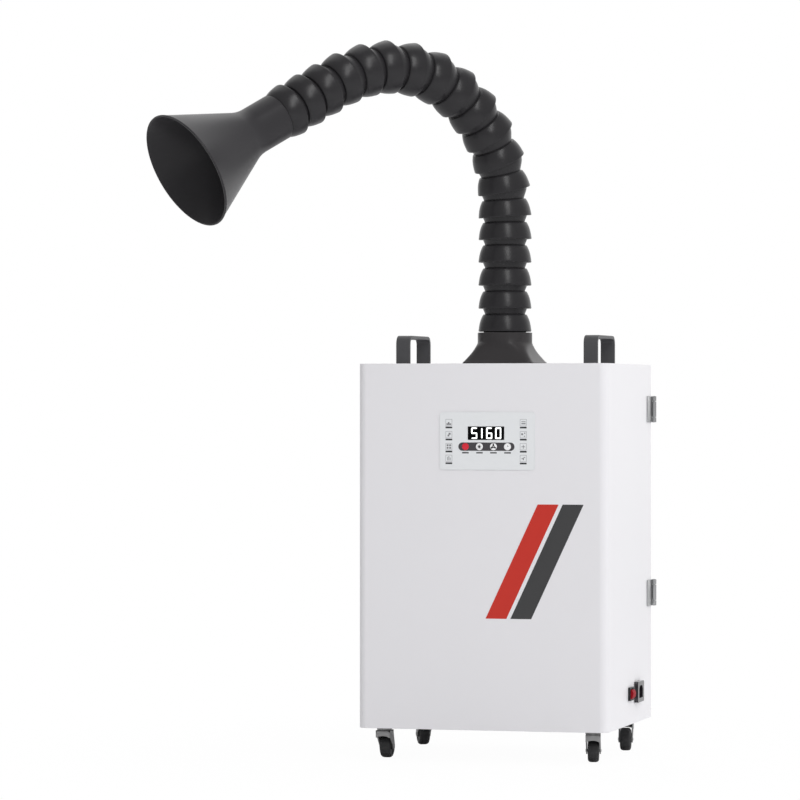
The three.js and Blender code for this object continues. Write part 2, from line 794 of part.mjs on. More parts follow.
// Blower housing: a scroll that opens towards the rear, with an inlet collar up to the shelf
function scrollOutline(inset) {
  const points = [];
  for (let i = 0; i <= scrollSteps; i += 1) {
    const angle = scrollStart + (scrollTurn * i) / scrollSteps;
    const radius = scrollRadius(angle) - inset;
    points.push([blowerX + radius * Math.cos(angle), blowerY + radius * Math.sin(angle)]);
  }
  const outletY = tongueRear + (inset > 0 ? overrun : 0);
  const tongue = points[0][0] + (inset > 0 ? 2 * inset : 0);
  points.push([blowerX + scrollEndRadius - inset, outletY]);
  points.push([tongue, outletY]);
  if (inset > 0) points.push([tongue, points[0][1]]);
  return points;
}
const collarOuter = inletRadius + inletCollarWall;
const volute = cut(
  join(
    raised(scrollOutline(0), voluteBottom, voluteTop),
    upright(blowerX, blowerY, collarOuter, voluteTop - volutePlate, doorBottom - gap, impellerSides),
  ),
  raised(scrollOutline(voluteWall), voluteBottom + volutePlate, voluteTop - volutePlate),
  upright(
    blowerX, blowerY, inletRadius, voluteTop - volutePlate - overrun, doorBottom + overrun, impellerSides,
  ),
  upright(
    blowerX, blowerY, shaftHole, voluteBottom - overrun, voluteBottom + volutePlate + overrun, keySides,
  ),
);
place('blower_volute', volute, steel);

// Impeller: a back plate with its hub, backward-swept blades and a shroud ring
const impellerTop = impellerBottom + impellerHeight;
function impellerBlade(k) {
  const start = (2 * Math.PI * k) / bladeCount;
  const middle = (impellerEye + impellerRadius) / 2;
  const at = (radius, angle) => [blowerX + radius * Math.cos(angle), blowerY + radius * Math.sin(angle)];
  const wide = (radius) => bladeThickness / 2 / radius;
  const line = [
    [impellerEye, 0], [middle, bladeSweep * bladeBendShare],
    [impellerRadius - bladeThickness / 2, bladeSweep],
  ];
  const near = line.map(([r, a]) => at(r, start - a - wide(r)));
  const far = line.map(([r, a]) => at(r, start - a + wide(r))).reverse();
  return raised([...near, ...far], impellerBottom + impellerPlate / 2, impellerTop - impellerPlate / 2);
}
const impellerDisc = (radius, z0, z1) => upright(blowerX, blowerY, radius, z0, z1, impellerSides);
const impeller = cut(
  join(
    impellerDisc(impellerRadius, impellerBottom, impellerBottom + impellerPlate),
    cut(
      impellerDisc(impellerRadius, impellerTop - impellerPlate, impellerTop),
      impellerDisc(impellerEye, impellerTop - impellerPlate - overrun, impellerTop + overrun),
    ),
    upright(blowerX, blowerY, hubRadius, impellerBottom, impellerBottom + hubHeight, keySides),
    ...[...Array(bladeCount).keys()].map(impellerBlade),
  ),
  upright(
    blowerX, blowerY, shaftRadius + shaftClearance, impellerBottom - overrun,
    impellerBottom + hubHeight + overrun, keySides,
  ),
);
place('impeller', impeller, blackPlastic);

// Motor: a can with two end bells, standing on the pan, its shaft up through the hub
const motorLow = sheet + gap;
const motorHigh = voluteBottom - gap;
const shaftTop = impellerBottom + hubHeight;
const motor = turned([
  [0, motorLow], [motorFootRadius, motorLow], [motorRadius, motorLow + motorBand / 2],
  [motorRadius, motorLow + motorBand], [motorWaist, motorLow + motorBand],
  [motorWaist, motorHigh - motorBand], [motorRadius, motorHigh - motorBand], [motorRadius, motorHigh],
  [shaftRadius, motorHigh], [shaftRadius, shaftTop], [0, shaftTop],
], motorSides);
motor.translate(blowerX, blowerY, 0);
place('blower_motor', motor, steel);

// Control panel: a thin overlay with a raised key strip, a window and four keys
const slotOf = (x, z, width, height, radius, steps) => roundedBox(
  x - width / 2, x + width / 2, z - height / 2, z + height / 2, radius, radius, steps,
);
const overlay = cut(
  join(
    carriedY(
      slotOf(overlayX, overlayZ, overlayWidth, overlayHeight, overlayCorner, cornerSteps),
      panelFace, -halfDepth - gap,
    ),
    carriedY(
      slotOf(stripX, stripZ, stripLength, stripHeight, stripHeight / 2, cornerSteps),
      panelFace - stripProud, -halfDepth - gap,
    ),
  ),
  block(
    displayX - displayWidth / 2, displayX + displayWidth / 2, panelFace - overrun, -halfDepth,
    displayZ - displayHeight / 2, displayZ + displayHeight / 2,
  ),
  ...[...Array(keyCount).keys()].map((k) => rod(
    [keyX(k), panelFace - overrun, stripZ], [keyX(k), -halfDepth, stripZ], keyRadius + keyClearance, keySides,
  )),
);
place('control_overlay', overlay, foil);
place('display_window', block(
  displayX - displayWidth / 2 + gap, displayX + displayWidth / 2 - gap,
  panelFace - displayProud, -halfDepth - gap,
  displayZ - displayHeight / 2 + gap, displayZ + displayHeight / 2 - gap,
), glass);

// Control board on posts from the front wall, its switches behind the keys
const boardRear = frontInner + boardSetback;
const boardFront = boardRear - boardThickness;
const plungerTop = boardFront - tactHeight - plungerHeight;
const stemEnd = plungerTop - keyTravel - gap;
const keyFace = panelFace - keyProud;
for (let k = 0; k < keyCount; k += 1) {
  const key = turned([
    [0, 0], [keyStemRadius, 0], [keyStemRadius, stemEnd - keyFace - keyCap],
    [keyRadius, stemEnd - keyFace - keyCap], [keyRadius, stemEnd - keyFace], [0, stemEnd - keyFace],
  ], keySides);
  key.rotateX(Math.PI / 2);
  key.translate(keyX(k), stemEnd, stripZ);
  place(`key_${k + 1}`, key, k === 0 ? redKey : greyKey);
}
const boardX = (displayX + stripX) / 2;
const boardBits = [];
for (const side of [-1, 1]) {
  for (const end of [-1, 1]) {
    const x = boardX + side * (boardWidth / 2 - postInset);
    const z = overlayZ + end * (boardHeight / 2 - postInset);
    boardBits.push(rod(
      [x, frontInner + gap, z], [x, boardRear - boardThickness / 2, z], postRadius, smallSides,
    ));
  }
}
for (let k = 0; k < keyCount; k += 1) {
  const x = keyX(k);
  boardBits.push(block(
    x - tactSize / 2, x + tactSize / 2, boardFront - tactHeight, boardRear - boardThickness / 2,
    stripZ - tactSize / 2, stripZ + tactSize / 2,
  ));
  boardBits.push(rod([x, plungerTop, stripZ], [x, boardFront, stripZ], plungerRadius, smallSides));
}
const displayInset = displayHole + gap;
boardBits.push(block(
  displayX - displayWidth / 2 + displayInset, displayX + displayWidth / 2 - displayInset,
  -halfDepth, boardRear - boardThickness / 2,
  displayZ - displayHeight / 2 + displayInset, displayZ + displayHeight / 2 - displayInset,
));
place('control_board', join(
  block(
    boardX - boardWidth / 2, boardX + boardWidth / 2, boardFront, boardRear,
    overlayZ - boardHeight / 2, overlayZ + boardHeight / 2,
  ),
  ...boardBits,
), board);

// Power supply: a stepped tin box on the pan, its terminals on the low ledge
const supplyLow = sheet + gap;
const supplyX = -panX + sheet + supplySideRoom + supplyWidth / 2;
const supplyY = panFront + sheet + supplyFrontRoom + supplyDepth / 2;
place('power_supply', join(
  block(
    supplyX - supplyWidth / 2, supplyX + supplyWidth / 2,
    supplyY - supplyDepth / 2 + supplyStep, supplyY + supplyDepth / 2, supplyLow, supplyLow + supplyHeight,
  ),
  block(
    supplyX - supplyWidth / 2, supplyX + supplyWidth / 2,
    supplyY - supplyDepth / 2, supplyY + supplyDepth / 2, supplyLow, supplyLow + supplyLedge,
  ),
), steel);

// Rocker switch: a snap-in body with a pocket, and the rocker on its two pins
const rockerPivotX = halfWidth - rockerPivotDepth;
const pocketFloor = rockerPivotX - rockerFoot - rockerFloorGap;
const bezelX = halfWidth + gap + bezelProud;
const switchHousing = cut(
  join(
    block(
      halfWidth + gap, bezelX, rockerY - bezelWidth / 2, rockerY + bezelWidth / 2,
      mainsZ - bezelHeight / 2, mainsZ + bezelHeight / 2,
    ),
    block(
      halfWidth - switchBodyDepth, halfWidth + gap + bezelProud / 2,
      rockerY - switchBodyWidth / 2, rockerY + switchBodyWidth / 2,
      mainsZ - switchBodyHeight / 2, mainsZ + switchBodyHeight / 2,
    ),
  ),
  block(
    pocketFloor, bezelX + overrun, rockerY - rockerPocketWidth / 2, rockerY + rockerPocketWidth / 2,
    mainsZ - rockerPocketHeight / 2, mainsZ + rockerPocketHeight / 2,
  ),
  rod(
    [rockerPivotX, rockerY - switchBodyWidth, mainsZ], [rockerPivotX, rockerY + switchBodyWidth, mainsZ],
    rockerPinRadius + rockerPinClearance, smallSides,
  ),
);
place('switch_housing', switchHousing, blackPlastic);

const rockerGroup = new THREE.Group();
rockerGroup.position.set(rockerPivotX, rockerY, mainsZ);
rockerGroup.rotation.y = rockerTilt;
purifier.add(rockerGroup);
const rockerSolid = carriedY([
  [-rockerFoot, -rockerFoot], [-rockerCheek, -rockerHalf], [rockerTop - rockerCrown, -rockerHalf],
  [rockerTop, -crownShare * rockerHalf], [rockerTop, crownShare * rockerHalf],
  [rockerTop - rockerCrown, rockerHalf], [-rockerCheek, rockerHalf], [-rockerFoot, rockerFoot],
], -rockerWidth / 2, rockerWidth / 2);
const rockerPin = (switchBodyWidth - gap) / 2;
place('switch_rocker', join(
  rockerSolid, rod([0, -rockerPin, 0], [0, rockerPin, 0], rockerPinRadius, smallSides),
), redRocker, rockerGroup);

// Mains inlet: a thick flange round a recess with its corners cut, and three blades
const inletFace = halfWidth + gap + inletProud;
const socketFloor = inletFace - socketDepth;
const socketPoints = (grow) => {
  const w = socketWidth / 2 + grow;
  const h = socketHeight / 2 + grow;
  return [
    [inletY - w, mainsZ - h], [inletY + w, mainsZ - h], [inletY + w, mainsZ + h - socketChamfer],
    [inletY + w - socketChamfer, mainsZ + h], [inletY - w + socketChamfer, mainsZ + h],
    [inletY - w, mainsZ + h - socketChamfer],
  ];
};
const blade = (y, z) => block(
  socketFloor - bladeWidth / 2, socketFloor + bladeLength, y - bladeWidth / 2, y + bladeWidth / 2,
  z - bladeHeight / 2, z + bladeHeight / 2,
);
const powerInlet = join(
  cut(
    join(
      carriedX(
        slotOf(inletY, mainsZ, inletWidth, inletHeight, inletCorner, inletCornerSteps),
        halfWidth + gap, inletFace,
      ),
      block(
        halfWidth - inletBodyDepth, halfWidth + gap + inletProud / 2,
        inletY - inletBodyWidth / 2, inletY + inletBodyWidth / 2,
        mainsZ - inletBodyHeight / 2, mainsZ + inletBodyHeight / 2,
      ),
    ),
    carriedX(socketPoints(0), socketFloor, inletFace + overrun),
  ),
  blade(inletY, mainsZ + bladeDrop),
  blade(inletY - bladeSpread, mainsZ - bladeDrop),
  blade(inletY + bladeSpread, mainsZ - bladeDrop),
);
place('power_inlet', powerInlet, blackPlastic);

// Casters: a top plate with race and rivet under the pan, a fork with the axle, and a wheel
const plateLow = -casterPlateThickness;
const raceLow = plateLow - raceHeight;
const forkTop = raceLow - gap;
const forkRoof = forkTop - forkSheet;
const rivetLow = forkRoof - gap - rivetHead;
const axleZ = -rideHeight + wheelRadius;
const casterX = halfWidth - casterSideInset;
const casterY = halfDepth - casterEndInset;
const casters = [
  ['front_left', -casterX, -casterY, 0], ['front_right', casterX, -casterY, 10 * degree],
  ['rear_left', -casterX, casterY, 26 * degree], ['rear_right', casterX, casterY, 188 * degree],
];

function casterPlate([, x, y]) {
  const half = casterPlateSize / 2;
  return join(
    raised(
      roundedBox(
        x - half, x + half, y - half, y + half, casterPlateCorner, casterPlateCorner, casterPlateSteps,
      ),
      plateLow, sheet / 2,
    ),
    upright(x, y, raceRadius, raceLow, plateLow + casterPlateThickness / 2, hingeSides),
    upright(x, y, rivetRadius, rivetLow + rivetHead / 2, raceLow + raceHeight / 2, smallSides),
    upright(x, y, rivetHeadRadius, rivetLow, rivetLow + rivetHead, smallSides),
  );
}
place('base_pan', join(trayWithTongue, ...casters.map(casterPlate)), white);

function casterFork() {
  const leg = [
    [-forkDepth / 2, forkTop], [-forkDepth / 2, forkRoof - forkSheet],
    ...arc(forkTrail, axleZ, forkEyeRadius, -Math.PI * 5 / 6, Math.PI / 6, forkSteps),
    [forkDepth / 2, forkRoof - forkSheet], [forkDepth / 2, forkTop],
  ];
  const half = forkWidth / 2;
  return cut(
    join(
      block(-half, half, -forkDepth / 2, forkDepth / 2, forkRoof, forkTop),
      carriedX(leg, -half, -half + forkSheet),
      carriedX(leg, half - forkSheet, half),
      rod(
        [-half - forkSheet / 2, forkTrail, axleZ], [half + forkSheet / 2, forkTrail, axleZ],
        axleRadius, smallSides,
      ),
    ),
    upright(0, 0, rivetRadius + rivetClearance, forkRoof - overrun, forkTop + overrun, smallSides),
  );
}

function casterWheel() {
  const half = wheelWidth / 2;
  const bore = axleRadius + axleClearance;
  const flat = wheelRadius / Math.cos(Math.PI / wheelSides);  // so that a flat side meets the floor
  const wheel = turned([
    [bore, -half], [flat - wheelShoulder, -half], [flat, -half + wheelShoulder],
    [flat, half - wheelShoulder], [flat - wheelShoulder, half], [bore, half],
  ], wheelSides);
  wheel.rotateZ(Math.PI / wheelSides);
  wheel.rotateY(Math.PI / 2);
  return wheel;
}
for (const [corner, x, y, facing] of casters) {
  const swivel = new THREE.Group();
  swivel.position.set(x, y, 0);
  swivel.rotation.z = facing;
  purifier.add(swivel);
  place(`caster_fork_${corner}`, casterFork(), zinc, swivel);
  const wheel = place(`caster_wheel_${corner}`, casterWheel(), tread, swivel);
  wheel.position.set(0, forkTrail, axleZ);
}

// Arm base: square foot, flare, collar and the first ball, hollow from below
const seats = seatShares.map((share) => share * socketPlay);
const armJointZ = cabinetHeight + gap + collarHeight + baseLipGap + lipDrop + seats[0];

function section(half, exponent, z) {
  const ring = [];
  for (let i = 0; i < baseSides; i += 1) {
    const angle = (2 * Math.PI * i) / baseSides;
    const [c, s] = [Math.cos(angle), Math.sin(angle)];
    const reach = half / (Math.abs(c) ** exponent + Math.abs(s) ** exponent) ** (1 / exponent);
    ring.push([reach * c, reach * s, z]);
  }
  return ring;
}

// Rings of equally many points, joined in turn and the last to the first
function loft(rings) {
  const count = rings[0].length;
  const index = [];
  rings.forEach((ring, i) => {
    const next = (i + 1) % rings.length;
    for (let j = 0; j < count; j += 1) {
      const k = (j + 1) % count;
      const [a, b, c, d] = [i * count + j, i * count + k, next * count + k, next * count + j];
      index.push(a, b, c, a, c, d);
    }
  });
  const geometry = new THREE.BufferGeometry();
  geometry.setAttribute('position', new THREE.Float32BufferAttribute(rings.flat(2), 3));
  geometry.setIndex(index);
  return geometry;
}

const onSphere = (radius, height) => Math.sqrt(radius * radius - height * height);

function armBase() {
  const low = cabinetHeight + gap;
  const collarTop = low + collarHeight;
  const rings = flareShares.map(([rise, spread, exponent]) => section(
    collarRadius + spread * (footHalf - collarRadius), exponent, low + rise * flareHeight,
  ));
  rings.push(section(collarRadius, 2, collarTop));
  const neck = collarTop - armJointZ;
  const rim = ballRim - seats[0];
  for (const height of [...firstBallShares.map((share) => share * neck), rim]) {
    rings.push(section(onSphere(firstBallRadius, height), 2, armJointZ + height));
  }
  rings.push(section(duct, 2, armJointZ + rim));
  rings.push(section(duct, 2, low + flareHeight));
  for (const [rise, spread, exponent] of [...flareShares].reverse().filter(([r]) => r < 1 / 2)) {
    const half = collarRadius + spread * (footHalf - collarRadius) - footWall;
    rings.push(section(half, exponent, low + rise * flareHeight));
  }
  const base = loft(rings);
  base.translate(armX, armY, 0);
  return base;
}
place('arm_base', armBase(), blackPlastic);

// A link: a bell-shaped skirt over the ball below, a groove, and the ball for the next one
const bellTop = bellHeight - lipDrop;
const grooveZ = bellTop + grooveDepth;
const bell = [
  [lipRadius, -lipDrop],
  ...bellShares.map(([rise, spread]) => [
    bellTopRadius + spread * (lipRadius - bellTopRadius), -lipDrop + rise * bellHeight,
  ]),
  [bellTopRadius, bellTop],
];
const socket = [
  [duct, socketRoof + roofRise],
  [socketRoofRadius, socketRoof],
  [ballRadius + socketClearance, socketMiddle],
  [lipBore, -lipDrop],
];
const linkProfile = (rim) => [
  ...bell,
  [grooveRadius, grooveZ],
  [onSphere(ballRadius, ballMiddle), linkPitch + ballMiddle],
  [onSphere(ballRadius, rim), linkPitch + rim],
  [duct, linkPitch + rim],
  ...socket,
];
const endProfile = [
  ...bell,
  [spigotRadius, bellTop],
  [spigotRadius, bellTop + spigotLength],
  [duct, bellTop + spigotLength],
  ...socket,
];

let carrier = new THREE.Group();
carrier.position.set(armX, armY, armJointZ);
carrier.rotation.z = armAzimuth;
purifier.add(carrier);
for (let i = 0; i < linkCount; i += 1) {
  const last = i === linkCount - 1;
  const name = `arm_segment_${String(i + 1).padStart(2, '0')}`;
  const profile = last ? endProfile : linkProfile(ballRim - seats[i + 1]);
  const link = place(name, turned(profile, linkSides), blackPlastic, carrier);
  link.position.z = -seats[i];
  if (!last) {
    const next = new THREE.Group();
    next.position.z = linkPitch - seats[i];
    next.rotation.y = bends[i] * degree;
    carrier.add(next);
    carrier = next;
  }
}

// Hood: a neck over the spigot, a cone and a thickened rim
const hoodBore = spigotRadius + spigotClearance;
const hood = turned([
  [hoodNeckRadius, 0], [hoodNeckRadius, hoodNeckLength],
  [hoodMouthRadius - hoodWall / 2, hoodLength - hoodRimHeight], [hoodMouthRadius, hoodLength - hoodRimHeight],
  [hoodMouthRadius, hoodLength], [hoodMouthRadius - hoodRim, hoodLength],
  [hoodBore, hoodNeckLength], [hoodBore, 0],
], hoodSides);
const hoodMesh = place('hood', hood, blackPlastic, carrier);
hoodMesh.position.z = bellTop + gap - seats[linkCount - 1];

export default purifier;
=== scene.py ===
# A mobile fume extractor: a white sheet-steel cabinet on casters, with a black ball-jointed arm
# and a funnel hood, a control panel, a rocker switch and a mains inlet. Metres, +Z up, the front
# towards -Y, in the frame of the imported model.

import json
import math

import bmesh
import bpy
from mathutils import Matrix, Vector


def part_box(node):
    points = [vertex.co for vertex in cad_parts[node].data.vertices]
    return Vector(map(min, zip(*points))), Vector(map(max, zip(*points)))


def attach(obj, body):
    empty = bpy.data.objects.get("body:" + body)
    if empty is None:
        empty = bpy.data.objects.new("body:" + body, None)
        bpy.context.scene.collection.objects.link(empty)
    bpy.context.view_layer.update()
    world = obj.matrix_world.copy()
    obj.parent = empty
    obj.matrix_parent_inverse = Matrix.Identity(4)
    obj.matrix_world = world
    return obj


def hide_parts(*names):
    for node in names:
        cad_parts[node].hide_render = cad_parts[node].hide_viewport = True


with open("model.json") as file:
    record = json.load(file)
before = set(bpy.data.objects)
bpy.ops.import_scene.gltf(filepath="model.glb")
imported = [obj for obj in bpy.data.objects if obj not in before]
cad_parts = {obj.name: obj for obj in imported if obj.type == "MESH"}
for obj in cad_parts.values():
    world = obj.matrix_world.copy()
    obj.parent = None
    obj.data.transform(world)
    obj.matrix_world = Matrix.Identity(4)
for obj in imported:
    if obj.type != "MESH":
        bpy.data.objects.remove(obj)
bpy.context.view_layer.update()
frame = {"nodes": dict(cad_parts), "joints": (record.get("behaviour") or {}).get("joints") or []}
nodes = frame["nodes"]
joints = {joint["name"]: joint for joint in frame["joints"]}
scene = bpy.context.scene
scene.view_settings.view_transform = "Standard"
mm = 0.001


# Camera: the photograph was taken level, from 15 degrees to the right of the front and from about
# 5.7 m away, through a long lens. It is written for a square picture on a 36 mm sensor.
camera_yaw = math.radians(15)
camera_data = bpy.data.cameras.new("camera")
camera_data.sensor_width = 36
camera_data.lens = 183.7
camera = bpy.data.objects.new("camera", camera_data)
camera.location = (1.3314, -5.5461, 0.4501)
looking = Vector((-math.sin(camera_yaw), math.cos(camera_yaw), 0))
camera.rotation_euler = looking.to_track_quat("-Z", "Y").to_euler()
scene.collection.objects.link(camera)
scene.camera = camera


# Studio: a pale floor and a white surround. The camera sees white, and the object is lit by a room
# with a white backdrop behind it, by softboxes beside the camera and overhead, and from the right.
class Wire:
    """A socket in a material's nodes. Arithmetic on it adds Math nodes."""

    def __init__(self, tree, socket=None):
        self.tree = tree
        self.socket = socket

    def node(self, kind, settings, inputs, output=0):
        """Adds a node, gives it its settings and its inputs, and returns one of its outputs."""
        made = self.tree.nodes.new("ShaderNode" + kind)
        for name, value in settings.items():
            setattr(made, name, value)
        for name, value in inputs.items():
            if isinstance(value, Wire):
                self.tree.links.new(value.socket, made.inputs[name])
            else:
                made.inputs[name].default_value = value
        if len(made.outputs) == 0:
            return None
        return Wire(self.tree, made.outputs[output])

    def math(self, operation, *values):
        return self.node("Math", {"operation": operation}, dict(enumerate(values)))

    def __add__(self, other):
        return self.math("ADD", self, other)

    __radd__ = __add__

    def __sub__(self, other):
        return self.math("SUBTRACT", self, other)

    def __rsub__(self, other):
        return self.math("SUBTRACT", other, self)

    def __mul__(self, other):
        return self.math("MULTIPLY", self, other)

    __rmul__ = __mul__


def new_tree(owner):
    """Empties an owner's nodes and returns a wire to start from."""
    owner.use_nodes = True
    owner.node_tree.nodes.clear()
    return Wire(owner.node_tree)


def shade(red, green, blue):
    """A screen colour from 0 to 255 as the linear colour that shaders take."""
    return (*(((c / 255 + 0.055) / 1.055) ** 2.4 for c in (red, green, blue)), 1.0)


def seen_directly(start):
    """1 for rays from the camera and through glass, otherwise 0."""
    rays = ("Is Camera Ray", "Is Transmission Ray")
    return start.math("MAXIMUM", *(start.node("LightPath", {}, {}, ray) for ray in rays))


white = (1.0, 1.0, 1.0, 1.0)
room_light = 0.46
world = bpy.data.worlds.new("studio")
scene.world = world
sky = new_tree(world)
place = sky.node("TexCoord", {}, {}, "Generated")
behind = sky.node("SeparateXYZ", {}, {"Vector": place}, "Y")
backdrop = sky.node("MapRange", {"interpolation_type": "SMOOTHSTEP"}, {
    "Value": behind, "From Min": 0.3, "From Max": 0.85, "To Min": room_light, "To Max": 1.0})
glow = sky.node("Background", {}, {
    "Color": white, "Strength": sky.math("MAXIMUM", seen_directly(sky), backdrop)})
sky.node("OutputWorld", {}, {"Surface": glow})

lamps = {
    "softbox": ("AREA", (0.33, -0.64, 0.69), 24),
    "top_softbox": ("AREA", (-0.23, 0.24, 0.94), 9),
    "side_light": ("SUN", (0.93, 0.08, 0.34), 1.56),
}
lamp_far = 3
for name, (kind, source, energy) in lamps.items():
    lamp_data = bpy.data.lights.new(name, kind)
    lamp_data.energy = energy
    lamp = bpy.data.objects.new(name, lamp_data)
    lamp.location = Vector(source) * lamp_far
    lamp.rotation_euler = Vector(source).to_track_quat("Z", "Y").to_euler()
    lamp.visible_camera = False
    scene.collection.objects.link(lamp)
softbox = bpy.data.lights["softbox"]
softbox.shape = "RECTANGLE"
softbox.size = 0.6
softbox.size_y = 2.0
bpy.data.lights["top_softbox"].size = 2.0
bpy.data.lights["side_light"].angle = math.radians(100)
bpy.data.objects["side_light"].visible_glossy = False

floor_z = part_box("caster_wheel_front_left")[0].z - 0.3 * mm
bpy.ops.mesh.primitive_circle_add(
    vertices=96, radius=12, fill_type="NGON", location=(0, 0, floor_z))
floor = bpy.context.object
floor.name = "studio_floor"
floor_finish = bpy.data.materials.new("studio_floor")
start = new_tree(floor_finish)
place = start.node("TexCoord", {}, {}, "Object")
distance = start.node("VectorMath", {"operation": "LENGTH"}, {0: place}, "Value")
fade = start.node("MapRange", {"interpolation_type": "SMOOTHSTEP"}, {
    "Value": distance, "From Min": 0.3, "From Max": 0.9, "To Min": 0.97, "To Max": 1.0})
lit = start.node("BsdfDiffuse", {}, {"Color": shade(244, 244, 245)})
glow = start.node("Emission", {}, {"Color": white, "Strength": 1.0})
mixed = start.node("MixShader", {}, {0: fade * seen_directly(start), 1: lit, 2: glow})
start.node("OutputMaterial", {}, {"Surface": mixed})
floor.data.materials.append(floor_finish)


# Cabinet shell, base pan and fixed rear panel: folded 1.5 mm sheet steel with rounded folds and a
# white powder coat, which has a fine orange peel. The pan carries the rear panel, and the casters'
# plates and races, which are bare zinc, are welded under it.
def surface(name, base, roughness, metallic=0.0, tone=0.03, grain=0.4 * mm, depth=0.02 * mm,
            bare_below=None, **sockets):
    """A finish with slight changes of tone and roughness, and a fine relief of the given grain.
    Below the height bare_below, where it is given, it is zinc."""
    material = bpy.data.materials.new(name)
    start = new_tree(material)
    place = start.node("TexCoord", {}, {}, "Object")
    broad = start.node("TexNoise", {}, {"Vector": place, "Scale": 9.0, "Detail": 3.0}, "Fac")
    fine = start.node("TexNoise", {}, {"Vector": place, "Scale": 1 / grain, "Detail": 2.0}, "Fac")
    darker = tuple(c * (1 - tone) for c in base[:3]) + (1.0,)
    lighter = tuple(min(1.0, c * (1 + tone)) for c in base[:3]) + (1.0,)
    spots = broad * 0.7 + fine * 0.3
    tint = start.node("Mix", {"data_type": "RGBA"}, {0: spots, 6: darker, 7: lighter}, 2)
    if bare_below is not None:
        height = start.node("SeparateXYZ", {}, {"Vector": place}, "Z")
        bare = start.math("LESS_THAN", height, bare_below)
        bare_tint = shade(138, 138, 138)
        tint = start.node("Mix", {"data_type": "RGBA"}, {0: bare, 6: tint, 7: bare_tint}, 2)
        metallic = bare * 0.6
    relief = start.node("Bump", {}, {"Height": fine, "Distance": depth, "Strength": 1.0})
    sheen = start.node("BsdfPrincipled", {}, {
        "Base Color": tint, "Roughness": (broad + fine - 1.0) * 0.1 + roughness,
        "Metallic": metallic, "Normal": relief, **sockets})
    start.node("OutputMaterial", {}, {"Surface": sheen})
    return material


def dress(node, material, softness=0.0, steps=2):
    """Gives a CAD node its finish, and rounds its sharp edges by softness."""
    piece = nodes[node]
    piece.data.materials.clear()
    piece.data.materials.append(material)
    weld = piece.modifiers.new("weld", "WELD")
    weld.merge_threshold = 0.02 * mm
    flat = piece.modifiers.new("flat faces", "DECIMATE")
    flat.decimate_type = "DISSOLVE"
    flat.angle_limit = math.radians(0.5)
    if softness > 0:
        piece.data.shade_smooth()
        bevel = piece.modifiers.new("rounded edges", "BEVEL")
        bevel.width = softness
        bevel.segments = steps
        bevel.limit_method = "ANGLE"
        bevel.angle_limit = math.radians(32)
        bevel.miter_outer = "MITER_ARC"
        even = piece.modifiers.new("even shading", "WEIGHTED_NORMAL")
        even.mode = "FACE_AREA"


powder_coat = {"base": shade(228, 227, 230), "roughness": 0.36,
               "tone": 0.006, "grain": 1.1 * mm, "depth": 0.012 * mm}
caster_plates_top = -0.05 * mm
white_coat = surface("white_powder_coat", **powder_coat)
pan_coat = surface("white_pan_coat", **powder_coat, bare_below=caster_plates_top)
dress("cabinet_shell", white_coat, 0.6 * mm, 3)
dress("base_pan", pan_coat, 0.3 * mm)
dress("rear_vent_panel", white_coat, 0.25 * mm)


# Stripes: two slanting bands of thin vinyl on the front, one red and one dark grey. They are stuck
# on the powder coat side by side, with a narrow gap between them.
def new_piece(name, shape, material, body, slot, *replaced):
    """Turns a bmesh into a piece that rides on a body, shaded smooth up to its sharp edges."""
    bmesh.ops.remove_doubles(shape, verts=shape.verts, dist=0.001 * mm)
    bmesh.ops.recalc_face_normals(shape, faces=shape.faces)
    mesh = bpy.data.meshes.new(name)
    shape.to_mesh(mesh)
    shape.free()
    mesh.shade_smooth()
    mesh.set_sharp_from_angle(angle=math.radians(38))
    mesh.materials.append(material)
    piece = bpy.data.objects.new(name, mesh)
    scene.collection.objects.link(piece)
    if replaced:
        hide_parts(*replaced)
    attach(piece, body)


def thicken(shape, faces, along, thickness):
    """Makes flat faces of a bmesh into a plate, which is thick that way and by that distance."""
    grown = bmesh.ops.extrude_face_region(shape, geom=faces)["geom"]
    moved = [part for part in grown if isinstance(part, bmesh.types.BMVert)]
    bmesh.ops.translate(shape, verts=moved, vec=Vector(along) * thickness)


def add_slab(shape, outline, along, thickness):
    """Adds a flat plate to a bmesh: its outline, and the way and the distance that it is thick."""
    face = shape.faces.new([shape.verts.new(point) for point in outline])
    thicken(shape, [face], along, thickness)


shine = "Specular IOR Level"
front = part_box("cabinet_shell")[0].y
stripe_low = 152.5 * mm
stripe_high = 308.4 * mm
stripe_lean = 0.467
stripe_thick = 0.12 * mm
stripes = {
    "stripe_red": (5.5 * mm, 29.2 * mm, shade(194, 42, 28)),
    "stripe_grey": (40.3 * mm, 29.0 * mm, shade(58, 58, 59)),
}
for name, (left, width, ink) in stripes.items():
    shift = stripe_lean * (stripe_high - stripe_low)
    shape = bmesh.new()
    add_slab(shape, [
        (left, front, stripe_low), (left + width, front, stripe_low),
        (left + width + shift, front, stripe_high), (left + shift, front, stripe_high),
    ], (0, -1, 0), stripe_thick)
    vinyl = surface(name + "_vinyl", ink, 0.42,
                    tone=0.02, grain=0.8 * mm, depth=0.004 * mm, **{shine: 0.4})
    new_piece(name, shape, vinyl, "cabinet", "white_coat")


# Rear door: the same coated sheet with folded edges, hung on two hinges, with a strip of black
# foam glued round its inner face. A quarter-turn lock of cast zinc closes it: a bezel with its
# barrel goes through the sheet, and the rotor in it carries the cam.
def spun(profile, placing, steps=48):
    """A bmesh turned from a profile of (radius, height) points, about the Z axis of a placing."""
    shape = bmesh.new()
    ring = [shape.verts.new((radius, 0, height)) for radius, height in profile]
    edges = [shape.edges.new(pair) for pair in zip(ring, ring[1:])]
    bmesh.ops.spin(shape, geom=ring + edges, cent=(0, 0, 0), axis=(0, 0, 1), angle=2 * math.pi,
                   steps=steps, use_merge=True)
    bmesh.ops.remove_doubles(shape, verts=shape.verts, dist=0.001 * mm)
    bmesh.ops.transform(shape, verts=shape.verts, matrix=placing)
    return shape


